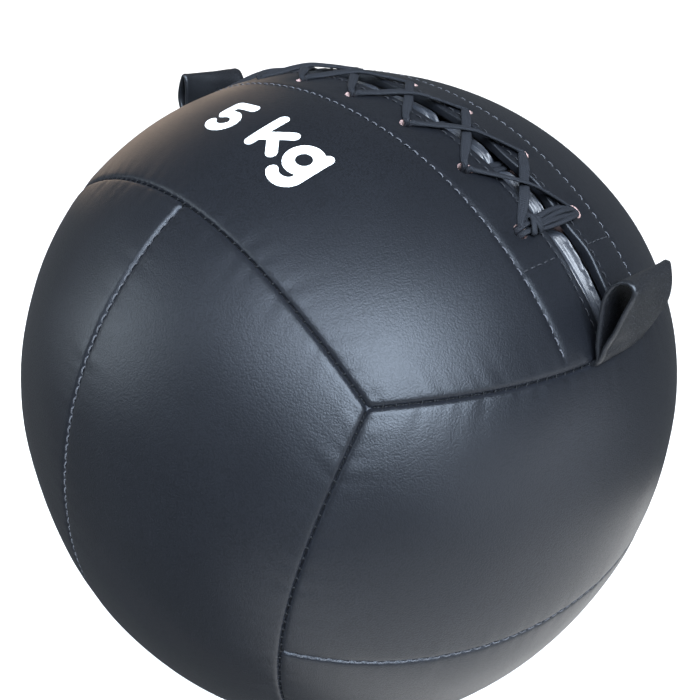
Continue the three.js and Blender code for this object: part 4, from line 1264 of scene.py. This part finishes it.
    def execute(self, context):
        ball = Ball(context)
        wadding = granular("fibre_fill", ((0.68, 0.64, 0.54), (0.45, 0.41, 0.32)), 260, 1.5 * MM)
        for name, node, upper in (("fill_upper_wadding", "fill_upper", True),
                                  ("fill_lower_wadding", "fill_lower", False)):
            made = settle(self.fibre(ball, name, upper, wadding), "ball", "fibre_fill", node)
        liner = settle(self.lining(ball), "ball", "liner_cloth", "liner_bag")
        core = settle(self.core(ball), "ball", "core_cloth", "core_bag")
        settle(self.grit(ball), "ball", "ballast_grit", "ballast")
        cord = granular("draw_cord", ((0.62, 0.58, 0.48), (0.4, 0.36, 0.28)), 1500, 0.3 * MM)
        settle(self.ring("liner_drawcord_plies", "liner_drawcord", 3, 0.44, 44, cord), "ball", "draw_cord",
               "liner_drawcord")
        tie = granular("core_tie", ((0.05, 0.055, 0.065), (0.02, 0.022, 0.026)), 1400, 0.3 * MM)
        settle(self.ring("core_tie_wire", "core_tie", 2, 0.5, 14, tie), "ball", "core_tie", "core_tie")
        return {"FINISHED"}


# ---------------------------------------------------------------- stage


class MEDBALL_OT_stage(bpy.types.Operator):
    """Pale floor, soft studio light and the camera"""

    bl_idname = "medball.stage"
    bl_label = "Stage"

    def execute(self, context):
        s, scene = context.scene.medball_stage, context.scene
        ground = bpy.data.meshes.new("floor")
        reach = 9.0
        ground.from_pydata([(-reach, -reach, 0), (reach, -reach, 0), (reach, reach, 0),
                            (-reach, reach, 0)], [], [(0, 1, 2, 3)])
        floor = bpy.data.objects.new("floor", ground)
        scene.collection.objects.link(floor)
        f = Finish("floor_paper", Roughness=0.9, Specular_IOR_Level=0.2)
        mottle = f.noise(f.place(), 3.0, 3.0, 0.5)
        ground.materials.append(f.drive(Base_Color=f.blend(mottle, shade(s.floor, 0.985), s.floor)))
        floor.visible_glossy = False
        # A pale dome behind everything, seen by the camera only.
        turn, climb = np.meshgrid(np.linspace(0, 2 * np.pi, 49), np.linspace(-0.1, 1.55, 13))
        dome = np.stack([np.cos(turn) * np.cos(climb), np.sin(turn) * np.cos(climb), np.sin(climb)],
                        -1) * reach
        sheet = Piece("backdrop")
        sheet.grid(dome / MM)
        paper = Finish("backdrop_paper", Base_Color=(0, 0, 0, 1), Specular_IOR_Level=0.0,
                       Emission_Color=(1, 1, 1, 1), Emission_Strength=0.96)
        backdrop = sheet.make([paper.material])
        for kind in ("visible_glossy", "visible_diffuse", "visible_shadow", "visible_transmission"):
            setattr(backdrop, kind, False)
        world = bpy.data.worlds.new("surround")
        world.use_nodes = True
        sky = next(n for n in world.node_tree.nodes if n.type == "BACKGROUND")
        sky.inputs["Color"].default_value = (0.86, 0.93, 1.0, 1)
        sky.inputs["Strength"].default_value = s.surround
        scene.world = world
        scene.view_settings.view_transform = "Standard"
        centre = Vector((0, 0, 0.17))
        lamps = (
            # name, azimuth from the front towards the right, elevation, distance, width, height, power, colour
            ("key_softbox", 60, 45, 1.5, 0.85, 1.05, s.key, (0.80, 0.89, 1.0)),
            ("front_softbox", 14, 50, 1.7, 0.9, 0.6, s.key * 0.37, (0.80, 0.88, 1.0)),
            ("left_window", -40, 13, 1.9, 0.8, 1.0, s.key * 0.21, (0.84, 0.93, 1.0)),
            ("right_wall", 104, 2, 2.2, 2.2, 0.7, s.key * 0.21, (0.92, 0.95, 1.0)),
            ("warm_bounce", -108, 4, 2.0, 1.0, 0.8, s.key * 0.055, (1.0, 0.74, 0.54)),
        )
        card = bpy.data.lights.new("floor_bounce", "AREA")
        card.shape, card.size, card.size_y, card.energy = "RECTANGLE", 0.8, 0.9, s.bounce
        bounce = bpy.data.objects.new("floor_bounce", card)
        bounce.location, bounce.rotation_euler = (0.56, -0.10, 0.002), (math.pi, 0, 0)
        bounce.visible_camera = False
        scene.collection.objects.link(bounce)
        sky_lamp = bpy.data.lights.new("overhead", "SUN")
        sky_lamp.energy, sky_lamp.angle = s.overhead, math.radians(70)
        overhead = bpy.data.objects.new("overhead", sky_lamp)
        overhead.visible_glossy = False
        scene.collection.objects.link(overhead)
        for name, azimuth, elevation, distance, wide, tall, power, colour in lamps:
            a, e = math.radians(azimuth), math.radians(elevation)
            way = Vector((math.sin(a) * math.cos(e), -math.cos(a) * math.cos(e), math.sin(e)))
            lamp = bpy.data.lights.new(name, "AREA")
            lamp.shape, lamp.size, lamp.size_y, lamp.energy, lamp.color = "RECTANGLE", wide, tall, power, colour
            shown = bpy.data.objects.new(name, lamp)
            shown.location = centre + way * distance
            shown.rotation_mode = "QUATERNION"
            shown.rotation_quaternion = (-way).to_track_quat("-Z", "Y")
            scene.collection.objects.link(shown)
        camera = bpy.data.cameras.new("camera")
        camera.sensor_width, camera.lens, camera.shift_y = 36.0, s.lens, 0.06
        eye = bpy.data.objects.new("camera", camera)
        eye.location = CAMERA_SPOT
        eye.rotation_euler = [math.radians(turn) for turn in CAMERA_TURNS]
        scene.collection.objects.link(eye)
        scene.camera = eye
        return {"FINISHED"}


# ---------------------------------------------------------------- panel and registration


class MEDBALL_PT_sidebar(bpy.types.Panel):
    """The steps that build the ball, with their sizes and colours"""

    bl_label = "Medicine Ball"
    bl_idname = "MEDBALL_PT_sidebar"
    bl_space_type = "VIEW_3D"
    bl_region_type = "UI"
    bl_category = "Medicine Ball"

    def draw(self, context):
        for group in GROUPS:
            box = self.layout.box()
            settings = getattr(context.scene, group)
            for key in settings.bl_rna.properties.keys():
                if key not in ("rna_type", "name"):
                    box.prop(settings, key)
        for operator in OPERATORS:
            self.layout.operator(operator.bl_idname)


GROUPS = {
    "medball_cover": MEDBALL_PG_cover,
    "medball_closure": MEDBALL_PG_closure,
    "medball_strap": MEDBALL_PG_strap,
    "medball_mark": MEDBALL_PG_mark,
    "medball_stage": MEDBALL_PG_stage,
}
OPERATORS = (
    MEDBALL_OT_stage, MEDBALL_OT_cover, MEDBALL_OT_seams, MEDBALL_OT_closure, MEDBALL_OT_topstitch,
    MEDBALL_OT_lace, MEDBALL_OT_straps, MEDBALL_OT_mark, MEDBALL_OT_inside,
)


def register():
    for group in GROUPS.values():
        bpy.utils.register_class(group)
    for operator in OPERATORS:
        bpy.utils.register_class(operator)
    bpy.utils.register_class(MEDBALL_PT_sidebar)
    for name, group in GROUPS.items():
        setattr(bpy.types.Scene, name, bpy.props.PointerProperty(type=group))


def unregister():
    for name in GROUPS:
        delattr(bpy.types.Scene, name)
    bpy.utils.unregister_class(MEDBALL_PT_sidebar)
    for operator in reversed(OPERATORS):
        bpy.utils.unregister_class(operator)
    for group in reversed(GROUPS.values()):
        bpy.utils.unregister_class(group)


def main():
    register()
    for operator in OPERATORS:
        group, name = operator.bl_idname.split(".")
        getattr(getattr(bpy.ops, group), name)()


if __name__ == "__main__":
    main()
